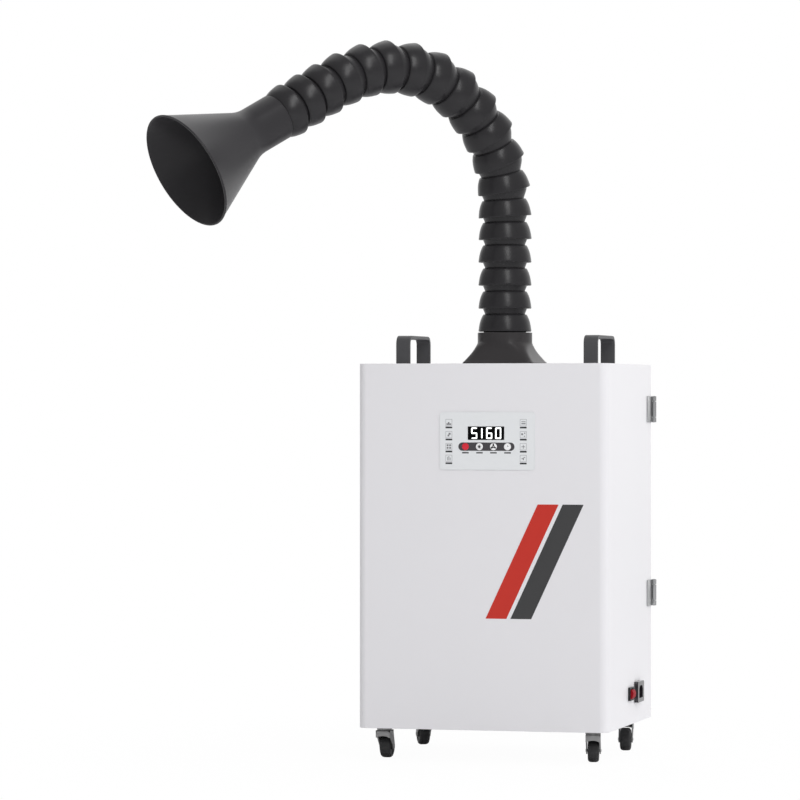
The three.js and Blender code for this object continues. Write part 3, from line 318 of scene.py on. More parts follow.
def merge(shape, other):
    """Adds another bmesh to a bmesh."""
    mesh = bpy.data.meshes.new("part")
    other.to_mesh(mesh)
    other.free()
    shape.from_mesh(mesh)
    bpy.data.meshes.remove(mesh)


def add_block(shape, low, high):
    """Adds a box between two corners to a bmesh."""
    low = Vector(low)
    size = Vector(high) - low
    placing = Matrix.Translation(low + size / 2) @ Matrix.Diagonal((*size, 1))
    bmesh.ops.create_cube(shape, size=1, matrix=placing)


def soften(shape, radius):
    """Rounds the sharp edges of a bmesh."""
    limit = math.radians(32)
    sharp = [edge for edge in shape.edges if edge.is_manifold and edge.calc_face_angle() > limit]
    bmesh.ops.bevel(shape, geom=sharp, offset=radius, offset_type="OFFSET", segments=2,
                    profile=0.5, affect="EDGES", material=-1, clamp_overlap=True)


def turned_to(axis, place):
    """The placing whose Z axis points along an axis, at a place."""
    return Matrix.Translation(place) @ Vector(axis).to_track_quat("Z", "Y").to_matrix().to_4x4()


def arc(centre, radius, first, last, steps, side=1):
    """Points on a circle between two angles, mirrored across its upright where side is -1."""
    angles = [first + (last - first) * i / steps for i in range(steps + 1)]
    return [(centre[0] + side * radius * math.cos(a), centre[1] + radius * math.sin(a))
            for a in angles]


foam = surface("black_foam", shade(42, 42, 43), 0.9, tone=0.2, grain=0.9 * mm, depth=0.3 * mm)
zinc = surface("zinc_plate", shade(168, 168, 166), 0.34, metallic=1.0,
               tone=0.06, grain=0.5 * mm, depth=0.01 * mm)
steel = surface("satin_steel", shade(186, 187, 188), 0.3, metallic=1.0,
                tone=0.05, grain=0.3 * mm, depth=0.006 * mm)
dress("rear_door", white_coat, 0.4 * mm)
dress("door_gasket", foam, 0.8 * mm)

bezel_low, bezel_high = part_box("lock_body")
lock_centre = (bezel_low + bezel_high) / 2
lock_depth = bezel_high.y - bezel_low.y
bezel_radius = (bezel_high.x - bezel_low.x) / 2
bezel_back = lock_depth - 2.3 * mm
barrel_radius = 7.5 * mm
barrel_edge = 0.5 * mm
bore = 5.4 * mm
bezel_shape = spun([
    (bore, 0), (barrel_radius - barrel_edge, 0), (barrel_radius, barrel_edge),
    (barrel_radius, bezel_back), (bezel_radius - 0.2 * mm, bezel_back),
    (bezel_radius, bezel_back + 0.2 * mm), (bezel_radius, lock_depth - 1.2 * mm),
    (bezel_radius - 0.8 * mm, lock_depth - 0.3 * mm), (bezel_radius - 2 * mm, lock_depth),
    (bore + 0.4 * mm, lock_depth), (bore, lock_depth - 0.4 * mm), (bore, 0),
], turned_to((0, 1, 0), (lock_centre.x, bezel_low.y, lock_centre.z)))
new_piece("lock_bezel", bezel_shape, zinc, "door", "zinc", "lock_body")

rotor_low, rotor_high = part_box("lock_rotor")
rotor_radius = 5 * mm
rotor_long = rotor_high.y - rotor_low.y
rotor_edge = 0.5 * mm
slot_half = 1 * mm
slot_deep = 1.3 * mm
slot_floor = rotor_long - slot_deep
cam_half = 4 * mm
cam_thick = 2 * mm
cam_tip = rotor_high.z - cam_half
rotor_shape = spun([
    (0, 0), (rotor_radius - rotor_edge, 0), (rotor_radius, rotor_edge), (rotor_radius, slot_floor),
    (0, slot_floor),
], turned_to((0, 1, 0), (lock_centre.x, rotor_low.y, lock_centre.z)), 40)
slot_angle = math.acos(slot_half / rotor_radius)
lock_middle = (lock_centre.x, lock_centre.z)
for side in (-1, 1):
    half = bmesh.new()
    rim = arc(lock_middle, rotor_radius, -slot_angle, slot_angle, 16, side)
    add_slab(half, [(x, rotor_high.y - slot_deep, z) for x, z in rim], (0, 1, 0), slot_deep)
    merge(rotor_shape, half)
cam = bmesh.new()
tip = arc((lock_centre.x, cam_tip), cam_half, 0, math.pi, 10)
heel = arc(lock_middle, cam_half, math.pi, 2 * math.pi, 10)
add_slab(cam, [(x, rotor_low.y, z) for x, z in tip + heel], (0, 1, 0), cam_thick)
merge(rotor_shape, cam)
new_piece("lock_cam_and_rotor", rotor_shape, zinc, "lock", "zinc", "lock_rotor")


# Hinges: two butt hinges of satin steel on the right rear edge, each with a leaf on the side and
# one on the door, three rolled knuckles on a pin, and two countersunk screws in each leaf.
def add_screw(shape, place, out, radius=2.5 * mm, height=0.5 * mm):
    """Adds a low screw head with a cross recess to a bmesh."""
    recess = 0.45 * mm
    head = spun([
        (0, height - recess), (radius * 0.16, height - recess), (radius * 0.34, height),
        (radius * 0.7, height), (radius, height * 0.4), (radius, -0.2 * mm), (0, -0.2 * mm),
    ], turned_to(out, place), 24)
    merge(shape, head)


def add_knuckle(shape, pivot, low, high, radius):
    """Adds a solid knuckle or pin to a bmesh, between two heights from the hinge's middle."""
    merge(shape, spun([
        (0, low), (radius - knuckle_edge, low), (radius, low + knuckle_edge),
        (radius, high - knuckle_edge), (radius - knuckle_edge, high), (0, high),
    ], Matrix.Translation(pivot), 40))


leaf_thick = 1.7 * mm
leaf_edge = 0.3 * mm
leaf_lap = 1 * mm
barrel = 3.6 * mm
barrel_slack = 0.6 * mm
knuckle_edge = 0.35 * mm
middle_half = 11 * mm
outer_from = middle_half + barrel_slack
pin = 1.6 * mm
pin_proud = 0.4 * mm
ring_bore = 2 * mm
ring_grip = 2.4 * mm
door_slack = 0.3 * mm
screw_share = 0.62
for level in ("upper", "lower"):
    side_low, side_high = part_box(f"hinge_{level}_cabinet_leaf")
    door_low, door_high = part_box(f"hinge_{level}_door_leaf")
    pivot = Vector((side_high.x - barrel, side_high.y - barrel, (side_low.z + side_high.z) / 2))
    leaf_half = (side_high.z - side_low.z) / 2
    screw_heights = [pivot.z + end * leaf_half * screw_share for end in (-1, 1)]
    side_face = side_low.x + leaf_thick
    side_leaf = bmesh.new()
    add_block(side_leaf, side_low, (side_face, pivot.y - barrel - barrel_slack, side_high.z))
    add_block(side_leaf, (side_low.x, pivot.y - barrel - leaf_lap, side_low.z),
              (side_face, pivot.y, pivot.z - outer_from))
    add_block(side_leaf, (side_low.x, pivot.y - barrel - leaf_lap, pivot.z + outer_from),
              (side_face, pivot.y, side_high.z))
    soften(side_leaf, leaf_edge)
    add_knuckle(side_leaf, pivot, -leaf_half, -outer_from, barrel)
    add_knuckle(side_leaf, pivot, outer_from, leaf_half, barrel)
    add_knuckle(side_leaf, pivot, -leaf_half - pin_proud, leaf_half + pin_proud, pin)
    for height in screw_heights:
        add_screw(side_leaf, (side_face, (side_low.y + pivot.y - barrel) / 2, height), (1, 0, 0))
    new_piece(f"hinge_{level}_side_leaf", side_leaf, steel, "cabinet", "steel",
              f"hinge_{level}_cabinet_leaf")

    door_edge = pivot.x - barrel - door_slack
    door_back = pivot.y - leaf_thick / 2
    door_face = pivot.y + leaf_thick / 2
    door_leaf = bmesh.new()
    add_block(door_leaf, (door_low.x, door_back, door_low.z), (door_edge, door_face, door_high.z))
    soften(door_leaf, leaf_edge)
    add_block(door_leaf, (door_edge - leaf_lap, door_back, pivot.z - middle_half),
              (pivot.x - ring_grip, door_face, pivot.z + middle_half))
    merge(door_leaf, spun([
        (ring_bore, -middle_half), (barrel - knuckle_edge, -middle_half),
        (barrel, knuckle_edge - middle_half), (barrel, middle_half - knuckle_edge),
        (barrel - knuckle_edge, middle_half), (ring_bore, middle_half), (ring_bore, -middle_half),
    ], Matrix.Translation(pivot), 40))
    for height in screw_heights:
        add_screw(door_leaf, ((door_low.x + door_edge) / 2, door_face, height), (0, 1, 0))
    new_piece(f"hinge_{level}_back_leaf", door_leaf, steel, "door", "steel",
              f"hinge_{level}_door_leaf")


# Screws of the rear: six small pan heads of zinc-plated steel, three down each side, which hold
# the fixed panel to its flanges.
screw_in = 7 * mm
screw_up = 8 * mm
panel_low, panel_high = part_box("rear_vent_panel")
panel_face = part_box("cabinet_shell")[1].y
panel_middle = (panel_low.z + panel_high.z) / 2
screws = bmesh.new()
for x in (panel_low.x + screw_in, panel_high.x - screw_in):
    for z in (panel_low.z + screw_up, panel_middle, panel_high.z - screw_up):
        add_screw(screws, (x, panel_face, z), (0, 1, 0), radius=3 * mm, height=1.3 * mm)
new_piece("rear_panel_screws", screws, zinc, "cabinet", "zinc")


# Handles: two bails of flat bar in black plastic, one near each side of the top, with rounded
# edges. They stand on the coated sheet and are screwed on from inside.
handle_black = surface("black_handle_plastic", shade(74, 74, 76), 0.42,
                       tone=0.05, grain=0.5 * mm, depth=0.02 * mm, **{shine: 0.3})
for side in ("left", "right"):
    dress(f"handle_{side}", handle_black, 1.0 * mm, 3)


# Control panel: a pale printed film, glued on the front, with a black display window over a dark
# raised strip. The strip has a round hole for each of the four keys.
overlay_film = surface("keypad_film", shade(226, 228, 230), 0.38,
                       tone=0.005, grain=0.7 * mm, depth=0.004 * mm)
strip_film = surface("key_strip_film", shade(68, 66, 69), 0.42,
                     tone=0.02, grain=0.7 * mm, depth=0.004 * mm, **{shine: 0.3})
window_black = surface("display_window", shade(4, 4, 5), 0.3, tone=0.0, depth=0.0, **{shine: 0.06})
ink_pale = surface("icon_ink", shade(176, 177, 180), 0.45, tone=0.0, depth=0.0)
ink_grey = surface("icon_sign_ink", shade(120, 121, 124), 0.45, tone=0.0, depth=0.0)
ink_dark = surface("label_ink", shade(40, 40, 42), 0.45, tone=0.0, depth=0.0)
dress("control_overlay", overlay_film)
dress("display_window", window_black, 0.15 * mm)

keys = [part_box(f"key_{k}") for k in (1, 2, 3, 4)]
key_spots = [((low.x + high.x) / 2, (low.z + high.z) / 2) for low, high in keys]
key_gap = 0.15 * mm
cap_radius = (keys[0][1].x - keys[0][0].x) / 2
strip_proud = 0.3 * mm
strip_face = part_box("control_overlay")[0].y
film_face = strip_face + strip_proud
strip_end = 5.65 * mm
strip_reach = 33.7 * mm
strip_thick = 0.08 * mm
strip_x = sum(x for x, z in key_spots) / 4
strip_z = key_spots[0][1]
quarter = math.pi / 2
outline = arc((strip_x + strip_reach, strip_z), strip_end, -quarter, quarter, 16)
outline += arc((strip_x - strip_reach, strip_z), strip_end, quarter, 3 * quarter, 16)
strip = bmesh.new()
rim = [strip.verts.new((x, strip_face, z)) for x, z in outline]
for pair in zip(rim, rim[1:] + rim[:1]):
    strip.edges.new(pair)
for x, z in key_spots:
    bmesh.ops.create_circle(strip, segments=48, radius=cap_radius + key_gap,
                            matrix=turned_to((0, -1, 0), (x, strip_face, z)))
bmesh.ops.triangle_fill(strip, use_beauty=True, edges=strip.edges[:], normal=(0, -1, 0))
thicken(strip, strip.faces[:], (0, -1, 0), strip_thick)
new_piece("key_strip", strip, strip_film, "cabinet", "overlay_foil")


# Digits: four seven-segment digits that light up behind the window's black glass. Their segments
# are named a to g, clockwise from the top, with g in the middle.
def lit_finish(name, tint, strength):
    """A glowing finish of one colour."""
    material = bpy.data.materials.new(name)
    start = new_tree(material)
    light = start.node("BsdfPrincipled", {}, {
        "Base Color": tint, "Roughness": 0.4,
        "Emission Color": tint, "Emission Strength": strength})
    start.node("OutputMaterial", {}, {"Surface": light})
    return material


segments_of = {"0": "abcdef", "1": "bc", "5": "acdfg", "6": "acdefg"}
digit_spots = [("5", -16.4 * mm), ("1", -9.0 * mm), ("6", 4.6 * mm), ("0", 17.2 * mm)]
digit_wide = 8.5 * mm
digit_high = 15.6 * mm
digit_thick = 0.06 * mm
bar = 1.9 * mm
bar_across = digit_wide - bar
bar_apart = (digit_high - bar) / 2
window_low, window_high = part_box("display_window")
window_mid = (window_low + window_high) / 2
digits = bmesh.new()


def add_bar(x, z, length, upright):
    """Adds one bar of a digit, pointed at both ends, centred at x and z."""
    half = length / 2
    tip = bar / 2
    line = [(-half, 0), (tip - half, -tip), (half - tip, -tip), (half, 0), (half - tip, tip),
            (tip - half, tip)]
    if upright:
        line = [(v, -u) for u, v in line]
    add_slab(digits, [(x + u, window_low.y, z + v) for u, v in line], (0, -1, 0), digit_thick)


for digit, spot in digit_spots:
    x = window_mid.x + spot
    z = window_mid.z
    for letter in segments_of[digit]:
        if letter in "agd":
            level = {"a": 1, "g": 0, "d": -1}[letter]
            add_bar(x, z + level * bar_apart, bar_across + bar * 0.7, False)
        else:
            side = 1 if letter in "bc" else -1
            level = 1 if letter in "bf" else -1
            add_bar(x + side * bar_across / 2, z + level * bar_apart / 2,
                    bar_apart + bar * 0.45, True)
display_light = lit_finish("display_light", shade(250, 252, 252), 0.9)
new_piece("display_digits", digits, display_light, "cabinet", "display_glass")


# Keys: moulded caps with a slight dome, each on a stem that goes in through the strip and is held
# out by a spring. The first is red. The others are pale, each with a plain symbol printed on it:
# a disc with rays, three blades or two hands.
key_red = surface("red_key", shade(212, 28, 50), 0.34,
                  tone=0.03, grain=0.6 * mm, depth=0.004 * mm)
key_pale = surface("pale_key", shade(243, 243, 244), 0.36,
                   tone=0.01, grain=0.6 * mm, depth=0.004 * mm)
cap_thick = 0.8 * mm
cap_edge = 0.15 * mm
stem = 2.8 * mm
stem_edge = 0.3 * mm
mark_thick = 0.05 * mm
disc_radius = 1.9 * mm
rays_of = {
    2: ([quarter + math.pi * i / 4 for i in range(8)], 2.5 * mm, 3.3 * mm, 0.4 * mm, 0.6),
    3: ([quarter + 2 * math.pi * i / 3 for i in range(3)], 0.5 * mm, 4.3 * mm, 1.4 * mm, 0.6),
    4: ([quarter, math.pi / 6], 0, 2.2 * mm, 0.2 * mm, 1),
}
for k, (low, high) in enumerate(keys, 1):
    x, z = key_spots[k - 1]
    depth = high.y - low.y
    cap_back = depth - cap_thick
    cap_shape = spun([
        (0, 0), (stem - stem_edge, 0), (stem, stem_edge), (stem, cap_back),
        (cap_radius - cap_edge, cap_back), (cap_radius, cap_back + cap_edge),
        (cap_radius, depth - 0.35 * mm), (cap_radius - 0.12 * mm, depth - 0.15 * mm),
        (cap_radius - 0.5 * mm, depth - 0.05 * mm), (cap_radius * 0.6, depth), (0, depth),
    ], turned_to((0, -1, 0), (x, high.y, z)), 48)
    new_piece(f"key_cap_{k}", cap_shape, key_red if k == 1 else key_pale, f"key_{k}",
              "red_key" if k == 1 else "grey_key", f"key_{k}")
    if k == 1:
        continue
    middle = Vector((x, low.y, z))
    mark = bmesh.new()
    if k == 2:
        merge(mark, spun([
            (0, 0), (disc_radius, 0), (disc_radius, mark_thick), (0, mark_thick),
        ], turned_to((0, -1, 0), middle), 32))
    turns, near, far, half_wide, narrowing = rays_of[k]
    for a in turns:
        out = Vector((math.cos(a), 0, math.sin(a)))
        across = Vector((-math.sin(a), 0, math.cos(a))) * half_wide
        inner = middle + out * near
        outer = middle + out * far
        tip = across * narrowing
        add_slab(mark, [inner - across, outer - tip, outer + tip, inner + across],
                 (0, -1, 0), mark_thick)
    new_piece(f"key_mark_{k}", mark, ink_dark, f"key_{k}", "grey_key")


# Prints on the film, in ink: beside the display two columns of faint squares, each with a plain
# sign in it and a bar under it, and a bar under each key. A sign is a few rectangles, given in
# millimetres from the square's middle as left, right, low and high.
icon_half = 4.7 * mm
icon_line = 0.7 * mm
icon_inner = icon_half - icon_line
icon_rows = [419.4 * mm, 403.0 * mm, 386.6 * mm, 370.6 * mm]
bar_drop = 7.9 * mm
bar_high = 2.3 * mm
key_bar_drop = 9.3 * mm
key_bar_half = 4.6 * mm
key_bar_high = 1.8 * mm
print_thick = 0.04 * mm
icon_signs = {
    -45.7 * mm: [
        [(-3.4, 3.4, -3.2, -1.2), (-1.4, 0.8, -1.2, 0.6)],
        [(-1.8, 0.6, -2.6, -0.2), (-0.4, 2.4, -0.2, 2.4)],
        [(-3.0, -0.5, 0.5, 3.0), (0.5, 3.0, 0.5, 3.0),
         (-3.0, -0.5, -3.0, -0.5), (0.5, 3.0, -3.0, -0.5)],
        [(-2.2, -1.4, -3.0, 2.0), (-0.4, 0.4, -3.0, 3.0), (1.4, 2.2, -3.0, 1.0)],
    ],
    58.5 * mm: [
        [(-2.6, 3.2, 0.6, 1.6), (-2.6, 3.2, -2.2, -0.8)],
        [(-2.8, -0.2, -0.6, 1.8), (1.2, 2.8, 1.2, 2.8), (1.0, 2.4, -2.8, -1.4)],
        [(-2.6, 2.6, -0.4, 0.4), (-0.4, 0.4, -2.6, 2.6)],
        [(-2.4, 0.2, -0.8, 0.2), (-0.2, 0.8, -2.2, 1.2), (0.8, 2.6, 0.8, 1.8)],
    ],
}
icons = bmesh.new()
signs = bmesh.new()
labels = bmesh.new()


def add_print(shape, x, z, left, right, low, high):
    """Adds a printed rectangle to a bmesh, given by its sides from a place on the film."""
    add_slab(shape, [(x + left, film_face, z + low), (x + right, film_face, z + low),
                     (x + right, film_face, z + high), (x + left, film_face, z + high)],
             (0, -1, 0), print_thick)


for x, column in icon_signs.items():
    for z, sign in zip(icon_rows, column):
        add_print(icons, x, z, -icon_half, icon_half, icon_inner, icon_half)
        add_print(icons, x, z, -icon_half, icon_half, -icon_half, -icon_inner)
        add_print(icons, x, z, -icon_half, -icon_inner, -icon_inner, icon_inner)
        add_print(icons, x, z, icon_inner, icon_half, -icon_inner, icon_inner)
        add_print(labels, x, z - bar_drop, -icon_half, icon_half, 0, bar_high)
        for sides in sign:
            add_print(signs, x, z, *(side * mm for side in sides))
for x, z in key_spots:
    add_print(labels, x, z - key_bar_drop, -key_bar_half, key_bar_half, 0, key_bar_high)
new_piece("panel_icons", icons, ink_pale, "cabinet", "overlay_foil")
new_piece("panel_icon_signs", signs, ink_grey, "cabinet", "overlay_foil")
new_piece("panel_label_bars", labels, ink_dark, "cabinet", "overlay_foil")


# Control board: a circuit board of glass fibre with a green mask, on posts from the front wall,
# with a switch behind each key.
board_green = surface("circuit_board", shade(36, 92, 54), 0.4,
                      tone=0.2, grain=1.6 * mm, depth=0.05 * mm)
dress("control_board", board_green, 0.1 * mm)


# Mains: a rocker switch of black plastic with a red rocker, and a mains inlet with a thick glossy
# flange. Both are snapped into the right side from outside, low at the rear.
switch_black = surface("black_switch_plastic", shade(30, 30, 32), 0.4,
                       tone=0.04, grain=0.4 * mm, depth=0.01 * mm, **{shine: 0.3})
inlet_black = surface("glossy_inlet_plastic", shade(38, 36, 40), 0.12,
                      tone=0.04, grain=0.4 * mm, depth=0.002 * mm, **{"Coat Weight": 0.1})
rocker_red = surface("red_rocker", shade(146, 18, 30), 0.5,
                     tone=0.04, grain=0.5 * mm, depth=0.004 * mm, **{shine: 0.08})
dress("switch_housing", switch_black, 0.4 * mm)
dress("switch_rocker", rocker_red, 0.5 * mm, 3)
dress("power_inlet", inlet_black, 0.4 * mm)


# Arm base: black polypropylene, moulded as a square foot that sweeps up into a round collar, with
# the first ball of the arm on top. Four soft ridges fade out from the foot's corners. It is hollow
# and stands over the hole in the cabinet's top.
arm_black = surface("black_arm_plastic", shade(39, 38, 40), 0.3,
                    tone=0.05, grain=0.5 * mm, depth=0.006 * mm, **{shine: 0.28})
# The foot is the links' black polypropylene with a lighter colour, painted lighter to stand in for
# light that it catches. Its lower shine makes it matte.
foot_black_painted_lighter = surface("black_foot_plastic_painted_lighter", shade(57, 55, 56), 0.3,
                     tone=0.05, grain=0.5 * mm, depth=0.006 * mm, **{shine: 0.13})
base_low, base_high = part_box("arm_base")
base_mid = (base_low + base_high) / 2
foot_half = (base_high.x - base_low.x) / 2
foot_z = base_low.z
ball_place = Vector(joints["arm_swivel"]["pos_m"])
foot_edge = 0.6 * mm
foot_rim = 2 * mm
foot_wall = 4 * mm
collar = 38 * mm
collar_top = 544 * mm
flare = 31 * mm
ball = 32.4 * mm
duct = 25 * mm


def foot_ring(shape, half, power, z):
    """Adds a ring to a bmesh, round where power is 2 and squarer above, and returns its edges."""
    made = bmesh.ops.create_circle(shape, segments=96, radius=1)["verts"]
    for vert in made:
        c, s = vert.co.x, vert.co.y
        reach = half / (abs(c) ** power + abs(s) ** power) ** (1 / power)
        vert.co = (base_mid.x + c * reach, base_mid.y + s * reach, z)
    return list({edge for vert in made for edge in vert.link_edges})


base_shape = bmesh.new()
rings = [
    foot_ring(base_shape, foot_half - foot_edge, 20, foot_z),
    foot_ring(base_shape, foot_half, 20, foot_z + foot_edge),
    foot_ring(base_shape, foot_half, 20, foot_z + foot_rim),
]
flare_steps = 14
for step in range(1, flare_steps + 1):
    rise = step / flare_steps
    spread = (1 - rise) ** 1.9 - 1.05 * rise ** 2 * (1 - rise)
    rings.append(foot_ring(
        base_shape, collar + (foot_half - collar - foot_edge) * spread, 2 + 18 * (1 - rise) ** 1.4,
        foot_z + foot_rim + rise * (flare - foot_rim)))
rings.append(foot_ring(base_shape, collar, 2, collar_top - foot_edge))
rings.append(foot_ring(base_shape, collar - foot_edge, 2, collar_top))
neck_z = collar_top - ball_place.z
ball_rim = base_high.z - ball_place.z
ball_steps = 8
for step in range(ball_steps + 1):
    height = neck_z + (ball_rim - neck_z) * step / ball_steps
    radius = math.sqrt(ball ** 2 - height ** 2)
    rings.append(foot_ring(base_shape, radius, 2, ball_place.z + height))
rings.append(foot_ring(base_shape, duct, 2, ball_place.z + ball_rim))
rings.append(foot_ring(base_shape, duct, 2, foot_z + flare))
rings.append(foot_ring(base_shape, foot_half - foot_wall, 16, foot_z))
for lower, upper in zip(rings, rings[1:] + rings[:1]):
    bmesh.ops.bridge_loops(base_shape, edges=lower + upper)
new_piece("arm_foot", base_shape, foot_black_painted_lighter, "cabinet", "arm_plastic", "arm_base")


# Arm links: nineteen moulded bells of black polypropylene, each with a socket that grips the ball
# below and can slide on it, a skirt that widens to a lip, a groove, and a ball for the next link.
# The last one ends in a spigot for the hood.
centres = [Vector(joint["pos_m"]) for joint in frame["joints"] if joint["name"].startswith("arm_")]
hood_joint = joints["hood_turn"]
hood_way = Vector(hood_joint["axis"])
hood_start = Vector(hood_joint["pos_m"])
steps_along = [after - before for before, after in zip(centres, centres[1:])]
ways = [along.normalized() for along in steps_along] + [hood_way]
pitch = 36.1 * mm
bell_top = 15.3 * mm
hood_gap = 0.3 * mm
seats = [pitch - along.length for along in steps_along]
seats.append(bell_top + hood_gap - (hood_start - centres[-1]).length)
lip_z = -8.5 * mm
lip_radius = 36.9 * mm
lip_edge = 0.9 * mm
lip_bore = 33.3 * mm
lip_lead = 0.4 * mm
bell_top_radius = 30.3 * mm
groove_radius = 27.9 * mm
link_ball = 33.3 * mm
rim_above = 0.6 * mm
round_from = -8.5 * mm
outer_bell = [
    (lip_bore + lip_lead, lip_z), (lip_radius - lip_edge, lip_z),
    (lip_radius - 0.25 * mm, lip_z + 0.25 * mm), (lip_radius, lip_z + lip_edge),
]
bell_steps = 12
for step in range(1, bell_steps + 1):
    rise = step / bell_steps
    drop = (lip_radius - bell_top_radius) * (0.4 * rise + 0.57 * rise ** 3)
    outer_bell.append((lip_radius - drop, lip_z + lip_edge + rise * (bell_top - lip_z - 1.3 * mm)))
outer_bell.append((bell_top_radius - 0.3 * mm, bell_top - 0.05 * mm))
inner_bell = [
    (duct, 13.2 * mm), (31.9 * mm, 9.8 * mm), (34 * mm, 3.6 * mm), (lip_bore, lip_z + lip_lead),
    (lip_bore + lip_lead, lip_z),
]
neck_line = [
    (27.9 * mm, pitch - 20.5 * mm), (28.5 * mm, pitch - 18.2 * mm), (29.6 * mm, pitch - 15.5 * mm),
    (30.4 * mm, pitch - 13.5 * mm), (31.2 * mm, pitch - 11.5 * mm), (31.9 * mm, pitch - 9.5 * mm),
]


def link_profile(rim):
    """Profile of a link whose ball is cut off at a height, from the ball's centre."""
    line = outer_bell + [(groove_radius + 0.4 * mm, bell_top + 0.05 * mm)] + neck_line
    ball_steps = 8
    for step in range(ball_steps + 1):
        height = round_from + (rim - round_from) * step / ball_steps
        line.append((math.sqrt(link_ball ** 2 - height ** 2), pitch + height))
    return line + [(duct, pitch + rim)] + inner_bell


spigot = 27.8 * mm
spigot_edge = 0.5 * mm
spigot_end = bell_top + 24 * mm
end_profile = outer_bell + [
    (spigot, bell_top), (spigot, spigot_end - spigot_edge), (spigot - spigot_edge, spigot_end),
    (duct, spigot_end),
] + inner_bell
for number, (centre, way, seat) in enumerate(zip(centres, ways, seats), 1):
    last = number == len(centres)
    profile = end_profile if last else link_profile(rim_above - seats[number])
    link = spun(profile, turned_to(way, centre - way * seat), 96)
    new_piece(f"arm_link_{number:02d}", link, arm_black, f"segment_{number:02d}", "arm_plastic",
              f"arm_segment_{number:02d}")


# Hood: a thin funnel of black polypropylene. Its neck slips over the spigot, a soft bend leads
# into the cone, and the mouth has a rolled rim.
neck_radius = 32.3 * mm
neck_edge = 0.6 * mm
neck_long = 52 * mm
bend_half = 11 * mm
hood_bore = 28.6 * mm
hood_long = 161 * mm
mouth = 82 * mm
wall_half = 1.2 * mm
cone_slope = (mouth - wall_half - neck_radius) / (hood_long - 3 * mm - neck_long)


def funnel(radius, shift):
    """Profile points of a neck that bends softly into the cone, moved along the axis by shift."""
    points = []
    bend_steps = 8
    for step in range(bend_steps + 1):
        t = 2 * step / bend_steps - 1
        points.append((radius + cone_slope * bend_half * (t + 1) ** 2 / 4,
                       neck_long + shift + t * bend_half))
    return points


hood_outer = [(hood_bore, 0), (neck_radius - neck_edge, 0), (neck_radius, neck_edge)]
hood_outer += funnel(neck_radius, 0)
hood_rim = [
    (mouth - wall_half - 0.3 * mm, hood_long - 3.6 * mm), (mouth - 0.6 * mm, hood_long - 2.8 * mm),
    (mouth, hood_long - 1.6 * mm), (mouth - 0.2 * mm, hood_long - 0.6 * mm),
    (mouth - 1.0 * mm, hood_long), (mouth - 2.4 * mm, hood_long - 0.2 * mm),
    (mouth - 3.4 * mm, hood_long - 1.4 * mm),
]
hood_inner = funnel(hood_bore + 1.0 * mm, 2 * mm)[::-1]
hood_inner += [(hood_bore, neck_long - bend_half - 4 * mm), (hood_bore, 0)]
funnel_hood = spun(hood_outer + hood_rim + hood_inner, turned_to(hood_way, hood_start), 160)
# The hood is the links' black polypropylene with a lighter colour, painted lighter to stand in for
# light that falls on its cone and neck.
hood_black_painted_lighter = surface("black_hood_plastic_painted_lighter", shade(51, 50, 52), 0.3,
                     tone=0.04, grain=0.5 * mm, depth=0.006 * mm, **{shine: 0.14})
new_piece("funnel_hood", funnel_hood, hood_black_painted_lighter, "hood", "arm_plastic", "hood")


# Filter shelf and filters, seen only with the rear door open: a folded tray of galvanised sheet
# with a baffle and rails, and stacked on it a cassette of carbon granules, a pleated fine filter
# and a pleated coarse filter, which slide out.
galvanised = surface("galvanised_sheet", shade(176, 178, 180), 0.42, metallic=0.9,
                     tone=0.14, grain=4 * mm, depth=0.01 * mm)
granules = surface("carbon_granules", shade(38, 38, 40), 0.75,
                   tone=0.5, grain=2.2 * mm, depth=1.2 * mm)
filter_paper = surface("filter_paper", shade(233, 232, 226), 0.85,
                       tone=0.04, grain=0.8 * mm, depth=0.15 * mm)
coarse_paper = surface("coarse_filter_paper", shade(222, 226, 230), 0.9,
                       tone=0.06, grain=1.6 * mm, depth=0.3 * mm)
dress("filter_shelf", galvanised, 0.3 * mm)
dress("carbon_filter", granules, 0.5 * mm)
dress("hepa_filter", filter_paper)
dress("prefilter", coarse_paper)


# Blower and power supply: a scroll of galvanised sheet under the shelf, with a moulded impeller on
# the shaft of a motor that stands on the pan, and beside it the supply in a stepped metal box.
cast_metal = surface("motor_metal", shade(160, 161, 163), 0.38, metallic=0.9,
                     tone=0.06, grain=0.8 * mm, depth=0.03 * mm)
impeller_black = surface("black_impeller_plastic", shade(36, 36, 38), 0.5,
                         tone=0.05, grain=0.5 * mm, depth=0.02 * mm)
dress("blower_volute", galvanised, 0.3 * mm)
dress("blower_motor", cast_metal, 0.5 * mm)
dress("impeller", impeller_black, 0.3 * mm)
dress("power_supply", cast_metal, 0.6 * mm)


# Casters: a fork of pressed, zinc-plated sheet that swivels under its plate on a race, with an
# arched web across it above the wheel, and a black wheel that rolls on a riveted axle.
wheel_black = surface("black_wheel_rubber", shade(46, 46, 47), 0.5,
                      tone=0.08, grain=0.7 * mm, depth=0.03 * mm, **{shine: 0.3})
fork_zinc = surface("dull_zinc", shade(150, 150, 150), 0.5, metallic=0.6,
                    tone=0.06, grain=0.5 * mm, depth=0.01 * mm)
fork_sheet = 1.6 * mm
fork_half = 10 * mm
fork_edge = 0.35 * mm
leg_half = 11 * mm
leg_drop = 3.5 * mm
eye = 5 * mm
axle_radius = 2 * mm
web_cover = 3.2 * mm
web_rise = 2.2 * mm
web_bow = 8.2 * mm
race_radius = 9 * mm
race_bore = 6 * mm
race_gap = 0.5 * mm
rivet_line = [
    (0, 0.9 * mm), (1.6 * mm, 0.8 * mm), (2.4 * mm, 0.2 * mm), (2.4 * mm, -0.6 * mm),
    (0, -0.6 * mm),
]
tyre = 16 * mm
tyre_half = 7.7 * mm
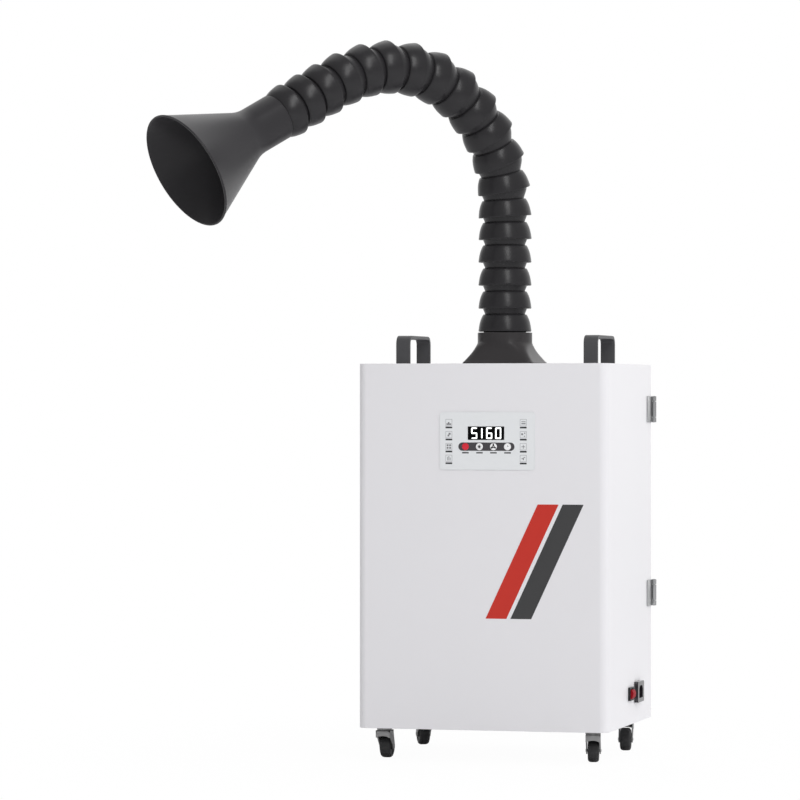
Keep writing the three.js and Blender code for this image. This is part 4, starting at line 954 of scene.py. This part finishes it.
wheel_side = [
    (2.5 * mm, -tyre_half), (5 * mm, -tyre_half), (5.4 * mm, 1.2 * mm - tyre_half),
    (10.5 * mm, 1.2 * mm - tyre_half), (11.2 * mm, 0.2 * mm - tyre_half),
    (12.8 * mm, 0.2 * mm - tyre_half), (14.4 * mm, 0.8 * mm - tyre_half),
    (15.4 * mm, 2 * mm - tyre_half), (tyre, 4.2 * mm - tyre_half),
]
wheel_profile = wheel_side + [(radius, -width) for radius, width in wheel_side[::-1]]
wheel_profile += wheel_side[:1]
for corner in ("front_left", "front_right", "rear_left", "rear_right"):
    swivel = Vector(joints[f"swivel_{corner}"]["pos_m"])
    hub = Vector(joints[f"roll_{corner}"]["pos_m"])
    axle = Vector(joints[f"roll_{corner}"]["axis"])
    new_piece(f"wheel_{corner}", spun(wheel_profile, turned_to(axle, hub), 64), wheel_black,
              f"wheel_{corner}", "wheel_rubber", f"caster_wheel_{corner}")

    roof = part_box(f"caster_fork_{corner}")[1].z
    trail = ((hub - swivel) * Vector((1, 1, 0))).length
    facing = math.atan2(axle.y, axle.x)
    fork = bmesh.new()
    add_block(fork, (-fork_half, -leg_half, roof - fork_sheet), (fork_half, leg_half, roof))
    leg = [(-leg_half, roof), (-leg_half, roof - leg_drop)]
    leg += arc((trail, hub.z), eye, -math.pi, 0.15 * math.pi, 12)
    leg += [(leg_half, roof - leg_drop), (leg_half, roof)]
    for side in (-1, 1):
        add_slab(fork, [(side * fork_half, y, z) for y, z in leg], (-side, 0, 0), fork_sheet)
    web_low = hub.z + tyre - web_cover
    web = [(-fork_half, web_low), (-fork_half, roof), (fork_half, roof), (fork_half, web_low)]
    web += [(web_bow * x, web_low + web_rise * z) for x, z in arc((0, 0), 1, 0, math.pi, 8)]
    add_slab(fork, [(x, -leg_half, z) for x, z in web], (0, 1, 0), fork_sheet)
    soften(fork, fork_edge)
    race_low = hub.z + tyre + race_gap
    race_top = roof - fork_sheet / 2
    merge(fork, spun([
        (race_bore, race_low), (race_radius, race_low), (race_radius, race_top),
        (race_bore, race_top), (race_bore, race_low),
    ], Matrix.Identity(4), 32))
    for side in (-1, 1):
        rivet_place = turned_to((side, 0, 0), (side * fork_half, trail, hub.z))
        merge(fork, spun(rivet_line, rivet_place, 24))
    merge(fork, spun([
        (0, -fork_half), (axle_radius, -fork_half), (axle_radius, fork_half), (0, fork_half),
    ], turned_to((1, 0, 0), (0, trail, hub.z)), 24))
    placing = Matrix.Translation((swivel.x, swivel.y, 0)) @ Matrix.Rotation(facing, 4, "Z")
    bmesh.ops.transform(fork, verts=fork.verts, matrix=placing)
    new_piece(f"fork_{corner}", fork, fork_zinc, f"fork_{corner}", "zinc", f"caster_fork_{corner}")
